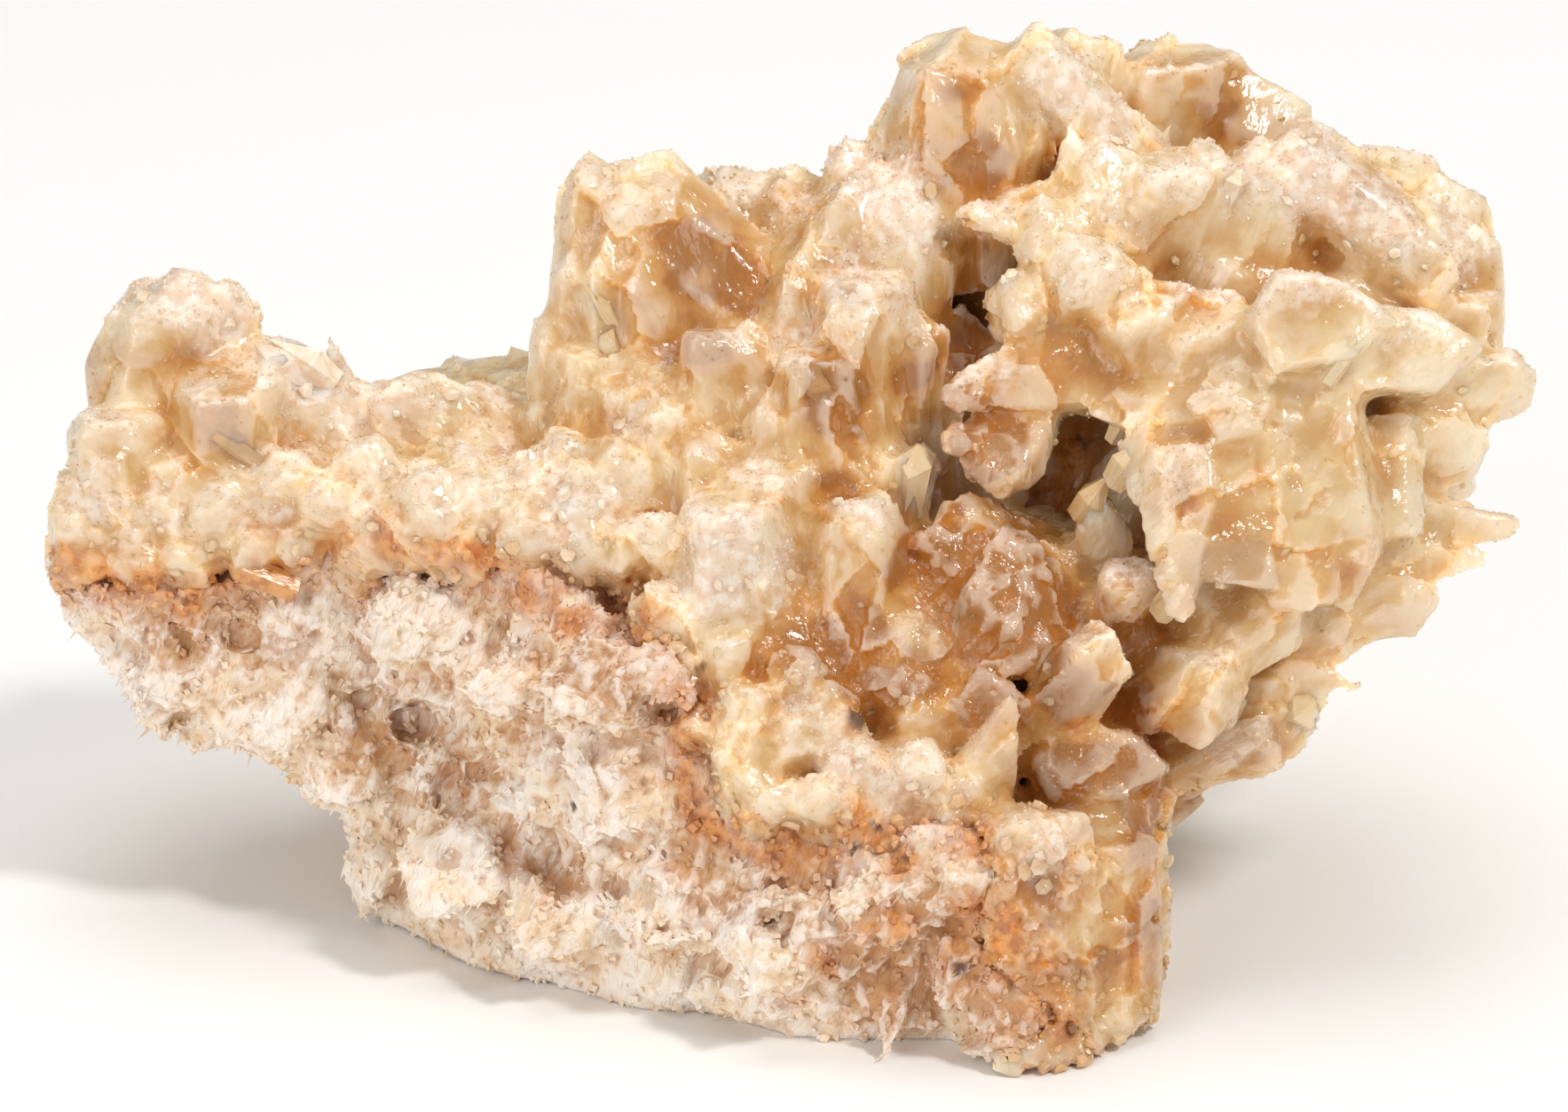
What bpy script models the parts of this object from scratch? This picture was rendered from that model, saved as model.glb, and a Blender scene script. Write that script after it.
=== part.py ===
"""Hand specimen of dogtooth calcite, 105 mm wide: crystals grown on a piece of white vein calcite.

The specimen is two solids. The matrix is the white vein calcite at the bottom, with a rough broken
face towards the front left and a small flat spot underneath on which the specimen rests. The crystal
cluster is the crust on top of it and on its right side, with the honey and cream crystals that grew
from the crust, all grown together in one solid.

Sizes are in millimetres and become metres when a mesh is made. +Z is up and the front looks to -Y.
Crystals are placed as the front view shows them, seen from FRONT_VIEW_TILT above the horizon:
across is to the right, rise is up in that view, and depth is to the back (the same as Y).
"""
import math
import random

import bmesh
import bpy
from mathutils import Matrix, Vector

MM = 0.001
FRONT_VIEW_TILT = math.radians(25.0)

# Room between the two solids, and between the cluster and the ground.
GAP = 0.55
CLUSTER_CLEARANCE = 0.4

# A crystal's cross-section: a hexagon whose every other corner is nearer the axis. How uneven it is:
# a little on grown crystals, much on the broken lumps of the matrix.
SIDES = 6
SHORT_EDGE = 0.87
NATURAL_WOBBLE = 0.05
BROKEN_WOBBLE = 0.26

# A crystal seen nearly end on is turned by the vertical in place of the view: the sine of that angle.
END_ON = 0.35

CRYSTAL_SEED = 41
LUMP_SEED = 17
MATRIX_SEED = 5

# Fineness of the finished meshes.
WELD = 0.001
CLUSTER_TRIANGLES = 7700
MATRIX_TRIANGLES = 2100

# The forms of the crystals: rings along the axis as (place from foot to tip, size, up and down zigzag),
# and whether the end is drawn to a point.
FORMS = {
    "tooth": (((0.0, 0.80, 0.0), (0.28, 1.0, 0.05), (0.90, 0.32, 0.01)), True),
    "spike": (((0.0, 0.78, 0.0), (0.30, 1.0, 0.05)), True),
    "block": (((0.0, 0.92, 0.0), (0.76, 1.0, 0.06)), True),
    "dome": (((0.0, 0.88, 0.0), (0.56, 1.0, 0.03), (0.86, 0.76, 0.03)), True),
    "stub": (((0.0, 0.94, 0.0), (0.84, 1.0, 0.03), (1.0, 0.76, 0.02)), False),
    "slab": (((0.0, 0.96, 0.0), (0.90, 1.0, 0.02), (1.0, 0.86, 0.0)), False),
}

# Each crystal: form, foot and tip as (across, rise, depth), half width, thickness to width, turn.
LEFT_END = (
    ("dome", (-43.2, 31.0, 6.0), (-43.0, 43.8, 7.0), 6.9, 0.85, 0),
    ("dome", (-42.3, 40.0, 7.0), (-42.3, 44.4, 7.0), 2.4, 1.0, 0),
    ("dome", (-39.2, 39.0, 7.0), (-39.0, 43.7, 7.0), 2.2, 1.0, 30),
    ("slab", (-39.0, 29.0, 2.0), (-39.1, 36.8, 1.0), 4.3, 0.95, 0),
    ("stub", (-46.6, 26.5, 0.5), (-46.9, 34.4, 0.8), 4.1, 0.9, 10),
    ("dome", (-49.4, 22.8, 0.4), (-49.8, 31.0, 0.8), 3.0, 1.0, 0),
    ("slab", (-35.4, 30.0, 4.0), (-36.0, 39.2, 5.0), 2.9, 0.9, 15),
    ("block", (-33.2, 30.0, 3.5), (-33.8, 38.0, 4.5), 2.9, 0.9, 0),
    ("spike", (-30.6, 31.0, 4.0), (-32.0, 40.2, 4.5), 2.8, 0.9, 0),
    ("slab", (-27.0, 29.5, 3.0), (-27.2, 36.8, 4.0), 3.0, 0.9, 0),
    ("block", (-24.3, 29.5, 3.5), (-24.2, 37.4, 4.5), 3.2, 0.9, 25),
    ("dome", (-21.4, 29.5, 4.0), (-21.6, 37.0, 4.5), 3.2, 0.9, 10),
    ("stub", (-19.2, 29.5, 2.5), (-19.4, 34.8, 3.5), 2.2, 0.9, 0),
)
FLUTED_COLUMNS = (
    ("dome", (-13.4, 33.0, 5.0), (-13.6, 53.0, 7.5), 3.5, 0.9, 0),
    ("dome", (-14.6, 31.0, 3.5), (-14.5, 46.6, 4.5), 2.6, 0.9, 0),
    ("dome", (-16.0, 29.5, 2.5), (-16.0, 42.0, 3.5), 2.4, 0.9, 0),
    ("block", (-11.8, 30.0, 1.5), (-12.2, 47.8, 4.0), 2.9, 0.9, 0),
    ("block", (-9.4, 30.0, 1.0), (-9.8, 46.6, 3.0), 2.8, 0.9, 0),
    ("slab", (-14.0, 28.5, -0.5), (-14.1, 38.8, 1.2), 2.5, 0.9, 0),
    ("dome", (-16.8, 28.0, 0.5), (-16.9, 35.8, 1.5), 2.3, 0.9, 0),
    ("block", (-11.4, 28.0, -3.0), (-11.6, 35.6, -1.5), 2.5, 0.9, 0),
    ("block", (0.0, 39.8, 3.0), (-13.2, 51.8, 8.0), 4.8, 0.8, 0),
    ("dome", (-3.0, 38.0, 11.0), (-4.2, 52.0, 11.5), 5.6, 0.9, 0),
    ("dome", (2.0, 40.0, 10.5), (0.8, 51.8, 11.0), 5.0, 0.9, 0),
    ("dome", (4.6, 42.0, 9.0), (4.4, 54.0, 9.0), 2.7, 0.9, 0),
    ("slab", (-4.8, 30.0, -3.0), (-5.0, 40.0, -1.5), 2.8, 0.9, 0),
    ("block", (-2.4, 30.0, -3.0), (-2.6, 41.0, -1.5), 2.4, 0.9, 0),
    ("slab", (-8.2, 27.0, -5.0), (-8.2, 34.6, -4.0), 2.9, 0.9, 0),
    ("block", (-5.2, 26.0, -6.5), (-5.6, 33.4, -5.5), 2.8, 0.9, 0),
    ("block", (-11.2, 26.0, -6.0), (-11.2, 32.8, -5.0), 2.6, 0.9, 0),
    ("stub", (-14.6, 26.0, -4.5), (-14.6, 32.6, -3.5), 2.7, 0.9, 0),
)
FROSTED_TOWER = (
    ("block", (2.8, 31.0, 1.0), (6.8, 52.8, 6.0), 5.6, 0.8, 0),
    ("dome", (6.9, 36.0, 0.5), (8.9, 51.4, 5.0), 3.7, 0.9, 0),
    ("block", (0.6, 30.0, -2.0), (2.2, 47.6, 2.0), 3.6, 0.9, 0),
    ("slab", (5.0, 31.0, -4.0), (5.6, 43.4, -1.0), 4.0, 0.8, 0),
    ("slab", (2.2, 29.0, -6.0), (2.6, 38.4, -4.5), 3.7, 0.8, 0),
    ("block", (-0.7, 28.0, -6.5), (-0.7, 36.6, -5.0), 2.8, 0.9, 0),
    ("block", (8.2, 31.0, -2.0), (8.7, 42.6, -0.5), 3.0, 0.9, 0),
    ("dome", (9.7, 38.0, 1.5), (10.3, 50.2, 4.5), 2.1, 0.9, 0),
    ("block", (12.8, 27.0, 1.0), (12.4, 42.4, 3.5), 3.4, 0.9, 15),
    ("slab", (11.6, 27.0, -1.5), (11.0, 36.8, 0.5), 2.2, 0.9, 0),
    ("spike", (4.5, 42.0, -3.4), (5.0, 36.8, -6.8), 2.1, 0.4, 0),
)
TOP_CRYSTALS = (
    ("dome", (12.4, 44.0, 8.0), (12.7, 61.4, 11.0), 7.5, 0.9, 0),
    ("slab", (25.4, 51.2, 8.5), (16.4, 60.2, 10.5), 2.9, 0.9, 0),
    ("dome", (20.4, 50.0, 13.0), (20.3, 61.6, 13.0), 4.5, 0.8, 0),
    ("slab", (28.6, 45.0, 14.5), (27.8, 59.6, 14.5), 5.6, 0.7, 0),
    ("block", (33.4, 45.0, 14.0), (33.0, 58.6, 14.0), 4.1, 0.8, 0),
    ("spike", (20.6, 49.0, 5.0), (20.0, 55.2, 6.0), 2.2, 0.8, 0),
    ("block", (24.0, 40.0, 6.0), (22.3, 53.6, 4.5), 4.8, 0.8, 0),
    ("slab", (28.4, 40.0, 6.0), (27.6, 52.0, 4.0), 4.4, 0.8, 15),
    ("block", (33.2, 40.0, 6.0), (33.6, 53.8, 6.5), 5.0, 0.8, 0),
    ("slab", (46.6, 43.5, 3.5), (34.5, 53.0, 7.0), 3.6, 0.9, 0),
    ("dome", (42.6, 38.0, 9.0), (41.0, 53.4, 10.0), 6.2, 0.8, 0),
    ("dome", (45.8, 35.0, 8.0), (45.8, 51.4, 8.5), 5.2, 0.8, 0),
    ("dome", (47.9, 36.0, 5.0), (48.6, 47.8, 6.0), 2.5, 0.9, 0),
    ("slab", (46.8, 34.5, 3.0), (47.6, 43.4, 4.0), 3.4, 0.9, 0),
    ("tooth", (21.5, 47.8, 4.5), (11.4, 48.2, 1.0), 3.1, 0.8, 0),
    ("slab", (25.5, 44.5, 3.0), (17.0, 47.2, 0.5), 3.0, 0.8, 0),
    ("dome", (21.9, 43.0, 4.0), (21.2, 44.4, -3.8), 4.3, 0.95, 0),
)
FRONT_SHELF = (
    ("tooth", (25.5, 38.5, 1.0), (11.0, 35.4, -6.5), 4.5, 0.7, 10),
    ("block", (21.4, 38.0, 2.0), (15.2, 43.6, -1.5), 4.0, 0.8, 0),
    ("slab", (27.4, 35.0, -0.5), (24.8, 42.0, -3.0), 4.3, 0.7, 0),
    ("slab", (31.2, 35.0, -1.0), (29.6, 41.2, -3.5), 4.0, 0.8, 20),
    ("block", (25.2, 38.0, 0.0), (24.6, 32.6, -7.4), 4.0, 0.6, 0),
    ("dome", (17.4, 36.0, -0.5), (14.4, 28.8, -8.0), 3.7, 0.8, 0),
    ("spike", (17.0, 33.2, -2.5), (10.7, 32.2, -8.0), 2.5, 0.9, 0),
    ("slab", (27.0, 37.0, -3.0), (28.2, 28.4, -10.0), 4.2, 0.6, 0),
)
RIGHT_PLATES = (
    ("slab", (37.0, 39.5, 3.0), (37.0, 40.6, -9.0), 5.8, 0.72, 0),
    ("slab", (42.4, 38.0, 3.0), (42.8, 38.8, -7.5), 5.8, 0.66, 0),
    ("block", (33.8, 38.0, -4.0), (30.2, 32.2, -10.8), 3.6, 0.7, 0),
    ("block", (36.6, 39.0, -5.0), (39.4, 20.2, -12.5), 4.3, 0.75, 0),
    ("tooth", (28.2, 32.0, -9.5), (27.6, 19.4, -16.5), 3.5, 0.6, 0),
    ("slab", (33.0, 34.0, -8.0), (32.0, 22.0, -14.0), 3.9, 0.5, 0),
    ("slab", (36.0, 33.0, -8.0), (36.2, 21.0, -13.5), 3.2, 0.6, 20),
    ("slab", (41.6, 34.0, -4.0), (42.0, 25.6, -8.5), 3.6, 0.7, 0),
    ("tooth", (38.6, 27.4, -4.5), (51.9, 26.4, -4.5), 3.2, 0.85, 0),
    ("dome", (43.0, 35.4, -0.5), (52.9, 37.0, 0.0), 3.1, 0.9, 0),
    ("dome", (41.5, 33.2, -2.5), (49.6, 31.8, -2.0), 3.5, 0.9, 0),
    ("tooth", (37.6, 23.6, -6.5), (49.2, 24.3, -6.5), 3.1, 0.9, 0),
    ("block", (36.0, 20.4, -8.0), (46.0, 21.6, -8.0), 2.8, 0.9, 0),
    ("block", (29.0, 24.0, -8.0), (35.6, 17.2, -12.5), 4.8, 0.7, 0),
    ("block", (31.5, 21.6, -7.0), (42.0, 19.2, -9.0), 3.3, 0.8, 0),
)
LOWER_RIGHT = (
    ("block", (22.0, 12.8, -7.0), (38.6, 14.4, -11.0), 3.7, 0.85, 0),
    ("slab", (24.5, 9.6, -9.0), (34.4, 11.8, -12.0), 2.9, 0.85, 0),
    ("slab", (23.0, 17.0, -8.0), (30.8, 14.4, -15.4), 3.9, 0.7, 0),
    ("spike", (34.6, 16.2, -10.0), (41.0, 15.1, -10.0), 2.0, 0.9, 0),
    ("slab", (21.8, 9.4, -6.0), (21.4, 9.8, -17.4), 5.6, 0.62, 0),
    ("block", (25.2, 4.6, -8.0), (25.0, 8.2, -15.0), 2.4, 0.9, 0),
    ("slab", (17.4, -10.6, -25.2), (17.0, 6.4, -22.5), 4.9, 0.75, 0),
    ("slab", (21.8, -8.4, -21.0), (21.6, 4.8, -19.5), 4.9, 0.85, 0),
    ("stub", (23.6, -5.6, -15.2), (23.7, 8.2, -14.0), 3.6, 0.9, 0),
)
CENTRE = (
    ("slab", (-3.6, 15.0, -12.5), (-3.9, 28.0, -11.5), 4.3, 0.85, 0),
    ("slab", (-1.2, 23.0, -9.0), (-1.3, 30.4, -8.5), 3.6, 0.85, 0),
    ("stub", (5.0, 15.0, -11.5), (5.2, 28.2, -9.5), 4.1, 0.85, 0),
    ("dome", (4.4, 24.0, -6.0), (4.8, 32.2, -6.5), 2.5, 0.9, 0),
    ("stub", (8.0, 24.0, -5.0), (8.1, 31.8, -5.5), 2.5, 0.9, 0),
    ("block", (20.0, 22.0, -4.0), (9.2, 25.6, -9.5), 4.2, 0.8, 0),
    ("block", (20.5, 20.5, -7.0), (12.6, 22.2, -15.0), 4.8, 0.7, 0),
    ("slab", (17.4, 17.6, -7.0), (15.0, 18.6, -14.5), 4.2, 0.7, 0),
    ("dome", (8.6, 22.0, -9.0), (10.8, 17.0, -15.4), 2.5, 0.5, 0),
    ("block", (6.8, 21.0, -10.0), (7.0, 13.8, -16.5), 2.8, 0.6, 0),
    ("block", (2.6, 10.5, -14.5), (3.4, 15.8, -17.5), 2.4, 0.9, 0),
    ("dome", (3.6, 10.0, -16.0), (4.4, 13.8, -19.0), 1.9, 0.9, 0),
    ("block", (10.2, 8.0, -14.0), (9.6, 16.2, -16.0), 3.6, 0.8, 0),
    ("block", (13.8, 8.0, -14.0), (13.6, 16.4, -16.0), 3.4, 0.8, 20),
    ("block", (17.0, 11.0, -13.0), (23.2, 19.4, -18.0), 3.0, 0.8, 0),
    ("tooth", (12.0, 4.5, -18.0), (16.0, 15.0, -20.5), 3.3, 0.75, 0),
    ("tooth", (22.6, 18.0, -4.0), (21.6, 28.8, -7.5), 3.7, 0.7, 0),
    ("slab", (24.0, 16.5, -8.0), (23.8, 23.0, -12.5), 2.6, 0.8, 0),
)

# The crust that the crystals grow from: middle as (x, y, z) and half sizes.
CRUST_LUMPS = (
    ((-42.0, 4.5, 31.0), (8.6, 7.5, 6.5)),
    ((-31.0, 5.0, 30.5), (10.0, 9.0, 5.5)),
    ((-20.0, 4.0, 31.0), (9.0, 11.0, 5.5)),
    ((-9.0, 4.0, 35.0), (9.0, 11.0, 9.5)),
    ((2.0, 6.0, 38.0), (9.0, 10.5, 12.5)),
    ((17.0, 14.0, 44.0), (12.5, 9.5, 12.0)),
    ((30.0, 10.0, 42.0), (12.0, 11.0, 11.0)),
    ((38.0, 5.0, 38.0), (9.5, 9.5, 9.5)),
    ((34.0, -1.0, 30.0), (9.5, 8.5, 9.5)),
    ((14.0, 9.0, 30.0), (13.0, 8.0, 9.0)),
    ((26.0, 4.0, 28.5), (6.5, 6.5, 8.0)),
    ((-2.0, -7.0, 23.0), (9.5, 8.5, 10.0)),
    ((8.0, -6.0, 22.0), (9.5, 11.0, 10.0)),
    ((19.0, -3.0, 22.0), (10.0, 10.5, 10.0)),
    ((28.0, -3.0, 20.0), (8.5, 8.5, 9.5)),
    ((20.5, -13.0, 10.0), (6.5, 9.0, 8.5)),
    ((-1.0, -13.5, 14.5), (7.0, 6.5, 7.0)),
    ((8.0, -16.0, 15.0), (7.5, 6.5, 6.0)),
    ((22.0, 4.0, 14.0), (8.0, 9.0, 8.5)),
    ((6.0, 18.0, 36.0), (17.0, 7.5, 10.0)),
    ((27.0, 18.0, 37.0), (14.0, 7.5, 12.0)),
    ((-16.0, 16.0, 28.5), (15.0, 8.0, 6.0)),
    ((-35.0, 12.0, 28.5), (11.0, 6.0, 5.0)),
)

# Rows of small druse crystals: first and last place as (across, rise, depth), how many, half width.
DRUSE_ROWS = (
    ((-50.0, 26.5, -1.0), (-14.0, 28.4, -6.5), 11, 2.5),
    ((-47.0, 29.6, -1.0), (-13.0, 30.0, -4.0), 9, 2.4),
    ((-49.5, 24.2, -2.0), (-10.0, 25.0, -9.5), 11, 2.3),
    ((-9.5, 25.0, -10.5), (-7.0, 12.0, -16.5), 4, 2.3),
    ((-3.5, 17.5, -16.0), (-2.0, 7.0, -20.5), 4, 2.5),
    ((1.0, 16.0, -16.0), (2.0, 7.0, -20.5), 3, 2.4),
    ((5.0, 9.4, -20.0), (12.0, 8.0, -21.5), 3, 2.5),
)

# The broken matrix at places along X: seam under the crust, front foot, back foot and back top,
# each as (y, z), and how far the face between seam and front foot swells.
MATRIX_STATIONS = (
    (-51.6, (-1.2, 24.8), (-0.6, 23.4), (4.5, 23.6), (5.0, 26.0), 0.2),
    (-48.0, (-3.2, 26.2), (0.0, 18.6), (9.0, 19.0), (10.0, 27.0), 0.8),
    (-42.7, (-4.4, 25.6), (0.5, 12.0), (13.0, 13.0), (14.0, 27.0), 1.2),
    (-36.5, (-3.4, 27.4), (-0.6, 9.8), (15.0, 9.0), (16.5, 27.0), 1.4),
    (-31.0, (-3.0, 28.8), (-2.4, 7.4), (15.5, 5.0), (18.0, 27.0), 1.0),
    (-29.6, (-3.4, 29.0), (-3.8, 0.6), (15.5, 2.0), (18.5, 27.0), 1.0),
    (-27.2, (-4.2, 29.2), (-5.2, 0.0), (15.0, 0.0), (19.0, 27.0), 1.0),
    (-22.0, (-6.8, 29.6), (-11.6, 0.0), (17.0, 0.0), (21.0, 27.0), 0.6),
    (-16.0, (-10.6, 29.2), (-14.2, 0.0), (17.5, 0.0), (22.0, 27.0), 1.6),
    (-10.5, (-14.2, 25.0), (-17.8, 0.0), (18.0, 0.0), (23.0, 27.0), 1.6),
    (-5.5, (-17.0, 17.5), (-18.4, 0.0), (18.0, 0.0), (23.5, 27.0), 1.2),
    (1.0, (-20.4, 13.4), (-22.4, 0.0), (18.0, 0.0), (23.5, 27.0), 1.4),
    (6.0, (-22.0, 13.6), (-22.8, 0.0), (17.0, 0.0), (23.0, 26.0), 1.0),
    (11.5, (-23.6, 13.4), (-22.6, 0.0), (16.0, 0.0), (22.0, 25.0), 0.8),
    (16.0, (-25.0, 6.4), (-26.8, 0.0), (13.0, 0.0), (19.0, 22.0), 0.2),
    (19.6, (-24.0, 3.0), (-26.4, 0.0), (10.0, 0.0), (15.0, 18.0), 0.0),
    (22.4, (-20.4, 2.6), (-22.4, 0.0), (7.0, 0.0), (11.0, 14.0), 0.0),
    (25.0, (-14.6, 2.0), (-16.0, 0.2), (2.0, 0.4), (4.0, 8.0), 0.0),
)

# The flat spot underneath, from its left to its right end and as a share of the way to the back. Round
# it the underside is rough, less so where the matrix is thinner than FULL_HEIGHT.
FLAT_SPOT = (-11.0, 17.0)
FLAT_SPOT_REACH = 0.9
FULL_HEIGHT = 24.0
UNDERSIDE_ROUGHNESS = (0.8, 2.6)
WALL_ROUGHNESS = (-0.1, 3.1)
FACE_ROUGHNESS = 0.8

# Lumps, ledges and points that stand out of the broken face: form, foot, tip, half width, thickness, turn.
MATRIX_RELIEF = (
    ("slab", (-18.0, 15.0, -6.0), (-18.4, 15.2, -13.4), 4.4, 0.45, 0),
    ("slab", (-12.0, 15.0, -10.0), (-12.4, 15.2, -17.4), 5.4, 0.7, 10),
    ("dome", (-11.5, 8.0, -10.0), (-12.0, 7.4, -19.0), 5.0, 0.8, 0),
    ("slab", (-25.5, 20.0, -2.0), (-25.8, 20.0, -8.0), 4.0, 0.9, 0),
    ("slab", (-36.0, 14.5, 2.0), (-36.4, 14.4, -4.6), 6.4, 0.6, 5),
    ("dome", (-43.0, 16.4, 2.0), (-43.6, 16.2, -5.0), 4.8, 0.8, 0),
    ("slab", (-30.6, 9.5, 0.0), (-30.8, 9.4, -5.8), 5.0, 0.6, 0),
    ("dome", (-28.0, 2.6, -1.0), (-28.4, 2.2, -7.4), 2.8, 1.3, 0),
    ("slab", (-22.0, 3.0, -5.0), (-22.4, 3.0, -13.0), 6.0, 0.7, 0),
    ("dome", (-14.6, -1.0, -9.0), (-15.0, -1.2, -18.0), 5.8, 0.7, 0),
    ("slab", (-7.4, 0.0, -12.0), (-7.4, -0.4, -20.2), 6.0, 0.6, 0),
    ("dome", (0.8, -2.0, -16.0), (0.8, -2.4, -25.4), 6.6, 0.7, 0),
    ("slab", (-2.6, -5.6, -14.0), (-2.6, -6.2, -22.4), 5.2, 0.4, 0),
    ("slab", (6.6, 0.0, -18.0), (6.8, 0.0, -25.0), 4.2, 0.9, 15),
    ("block", (11.0, 2.0, -19.0), (11.4, 2.0, -26.4), 3.8, 0.9, 0),
    ("block", (12.8, -4.0, -20.0), (13.0, -4.4, -27.0), 3.2, 0.9, 0),
    ("spike", (7.8, -4.0, -21.0), (6.9, -11.2, -26.6), 2.4, 0.9, 0),
    ("block", (15.6, -6.0, -22.0), (15.8, -8.0, -28.4), 3.6, 0.8, 0),
)

# Ledges and crumbs all over the broken face: how many, from where to where along X, how far down the
# face, half width, thickness to width and how far they stand out.
FACE_LEDGES = 46
FACE_SPAN = (-47.0, 14.5)
FACE_DOWN = (0.12, 0.93)
LEDGE_HALF_WIDTH = (1.5, 3.6)
LEDGE_THICKNESS = (0.35, 0.85)
LEDGE_STAND_OUT = (0.5, 2.0)
LEDGE_ROOT = 5.0

# Pits in the broken face: form, place outside, place inside, half width, thickness to width and turn.
MATRIX_PITS = (
    ("spike", (-30.4, 14.4, -11.0), (-30.0, 14.8, -1.4), 4.8, 0.6, 0),
    ("spike", (-26.6, 12.2, -11.0), (-26.4, 12.8, -2.6), 3.2, 0.8, 20),
    ("spike", (-21.4, 8.8, -17.0), (-21.2, 9.6, -7.4), 5.0, 0.5, 0),
    ("spike", (-20.4, 19.4, -15.0), (-20.2, 19.8, -5.4), 3.6, 0.8, 0),
    ("spike", (-8.6, 12.6, -25.0), (-8.4, 13.4, -13.0), 4.0, 0.8, 10),
    ("spike", (-11.4, 0.8, -25.0), (-11.2, 1.2, -14.4), 3.8, 0.6, 0),
    ("spike", (-0.8, -1.8, -31.0), (-0.8, -1.0, -19.4), 3.4, 0.8, 0),
    ("spike", (-38.6, 18.4, -9.0), (-38.4, 18.8, -1.2), 3.2, 0.7, 0),
    ("spike", (-17.2, 2.8, -20.0), (-17.2, 3.4, -11.2), 3.0, 0.7, 30),
    ("spike", (5.4, -5.6, -31.0), (5.4, -5.0, -21.6), 2.6, 0.8, 0),
)

# Where lumps stand out of the matrix's back wall: how many, from where to where along X, how high
# up, and the wall's foot and depth at places along X.
WALL_LUMPS = 14
WALL_SPAN = (-42.0, 14.0)
WALL_TOP = 25.0
WALL_FOOT = ((-48.0, 19.0), (-36.0, 9.0), (-28.0, 2.0), (20.0, 2.0))
WALL_DEPTH = ((-48.0, 9.0), (-36.5, 15.4), (-22.0, 18.8), (1.0, 20.4), (16.0, 15.0))

# The outline of the crystals in the front view as (across, rise), above and below, which the crystals
# of the hidden sides stay inside.
SKYLINE = (
    (-52.0, 25.0), (-50.0, 34.0), (-47.0, 41.0), (-42.5, 43.5), (-38.5, 42.5), (-36.5, 38.0),
    (-29.0, 36.0), (-20.0, 35.0), (-18.5, 34.0), (-16.5, 45.0), (-15.5, 50.0), (-12.0, 52.0),
    (0.0, 51.0), (5.0, 53.0), (8.0, 58.5), (12.0, 60.6), (22.0, 60.0), (34.0, 58.0), (36.5, 55.0),
    (37.5, 52.2), (42.0, 52.0), (46.0, 50.5), (49.0, 48.5), (50.5, 44.0), (52.5, 36.0),
)
UNDERLINE = (
    (-52.0, 23.0), (-30.0, 8.0), (-28.0, -12.0), (26.0, -12.0), (27.0, 8.5), (31.0, 10.5),
    (36.0, 13.0), (40.0, 16.0), (45.0, 21.5), (48.5, 24.5), (52.5, 35.0),
)

# The crystals of the hidden sides: places tried on each crust lump, half width, how far they stand
# out, how deep they root, and how far from the front view they must look. None grows where the
# matrix is, below MATRIX_TOP and left of MATRIX_END.
HIDDEN_PLACES_PER_LUMP = 26
HIDDEN_HALF_WIDTH = (2.6, 4.4)
HIDDEN_STAND_OUT = (2.2, 5.0)
HIDDEN_ROOT = 5.0
FRONT_FACING = 0.12
MATRIX_TOP = 25.0
MATRIX_END = 16.0


def from_view(place):
    """Turn across, rise and depth in the front view into x, y and z."""
    across, rise, depth = place
    height = (rise - depth * math.sin(FRONT_VIEW_TILT)) / math.cos(FRONT_VIEW_TILT)
    return Vector((across, depth, height))


def to_view(point):
    """The other way round from from_view."""
    rise = point.z * math.cos(FRONT_VIEW_TILT) + point.y * math.sin(FRONT_VIEW_TILT)
    return (point.x, rise, point.y)


def hull_mesh(name, points):
    """Make a closed convex mesh around points given in millimetres."""
    shape = bmesh.new()
    for point in points:
        shape.verts.new(point * MM)
    result = bmesh.ops.convex_hull(shape, input=shape.verts)
    spare = [item for item in result["geom_interior"] if isinstance(item, bmesh.types.BMVert)]
    bmesh.ops.delete(shape, geom=spare, context="VERTS")
    bmesh.ops.recalc_face_normals(shape, faces=shape.faces)
    mesh = bpy.data.meshes.new(name)
    shape.to_mesh(mesh)
    shape.free()
    return mesh


def add_solid(name, mesh):
    solid = bpy.data.objects.new(name, mesh)
    bpy.context.scene.collection.objects.link(solid)
    return solid


def crystal_points(row, chance, wobble=NATURAL_WOBBLE):
    """Lay the rings of one crystal or lump round its axis, uneven by wobble."""
    form, foot, tip, half_width, thickness, turn = row
    rings, pointed = FORMS[form]
    foot, tip = from_view(foot), from_view(tip)
    axis = tip - foot
    view = Vector((0.0, math.cos(FRONT_VIEW_TILT), -math.sin(FRONT_VIEW_TILT)))
    side = axis.cross(view)
    if side.length < END_ON * axis.length:
        side = axis.cross(Vector((0.0, 0.0, 1.0)))
    side.normalize()
    front = side.cross(axis).normalized()
    points = []
    for place, size, zigzag in rings:
        for k in range(SIDES):
            angle = math.radians(turn) + 2 * math.pi * k / SIDES
            reach = half_width * size * (1.0 if k % 2 else SHORT_EDGE)
            reach *= 1 + wobble * chance.uniform(-1, 1)
            along = place + (zigzag if k % 2 else -zigzag) + 0.4 * wobble * chance.uniform(-1, 1)
            if place == 0.0:
                along = 0.0
            points.append(
                foot + axis * along
                + side * (reach * math.cos(angle))
                + front * (reach * thickness * math.sin(angle))
            )
    if pointed:
        points.append(tip)
    return points


def make_crystals(name, rows, chance):
    solids = []
    for number, row in enumerate(rows):
        label = "%s %d" % (name, number)
        solids.append(add_solid(label, hull_mesh(label, crystal_points(row, chance))))
    return solids


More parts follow.
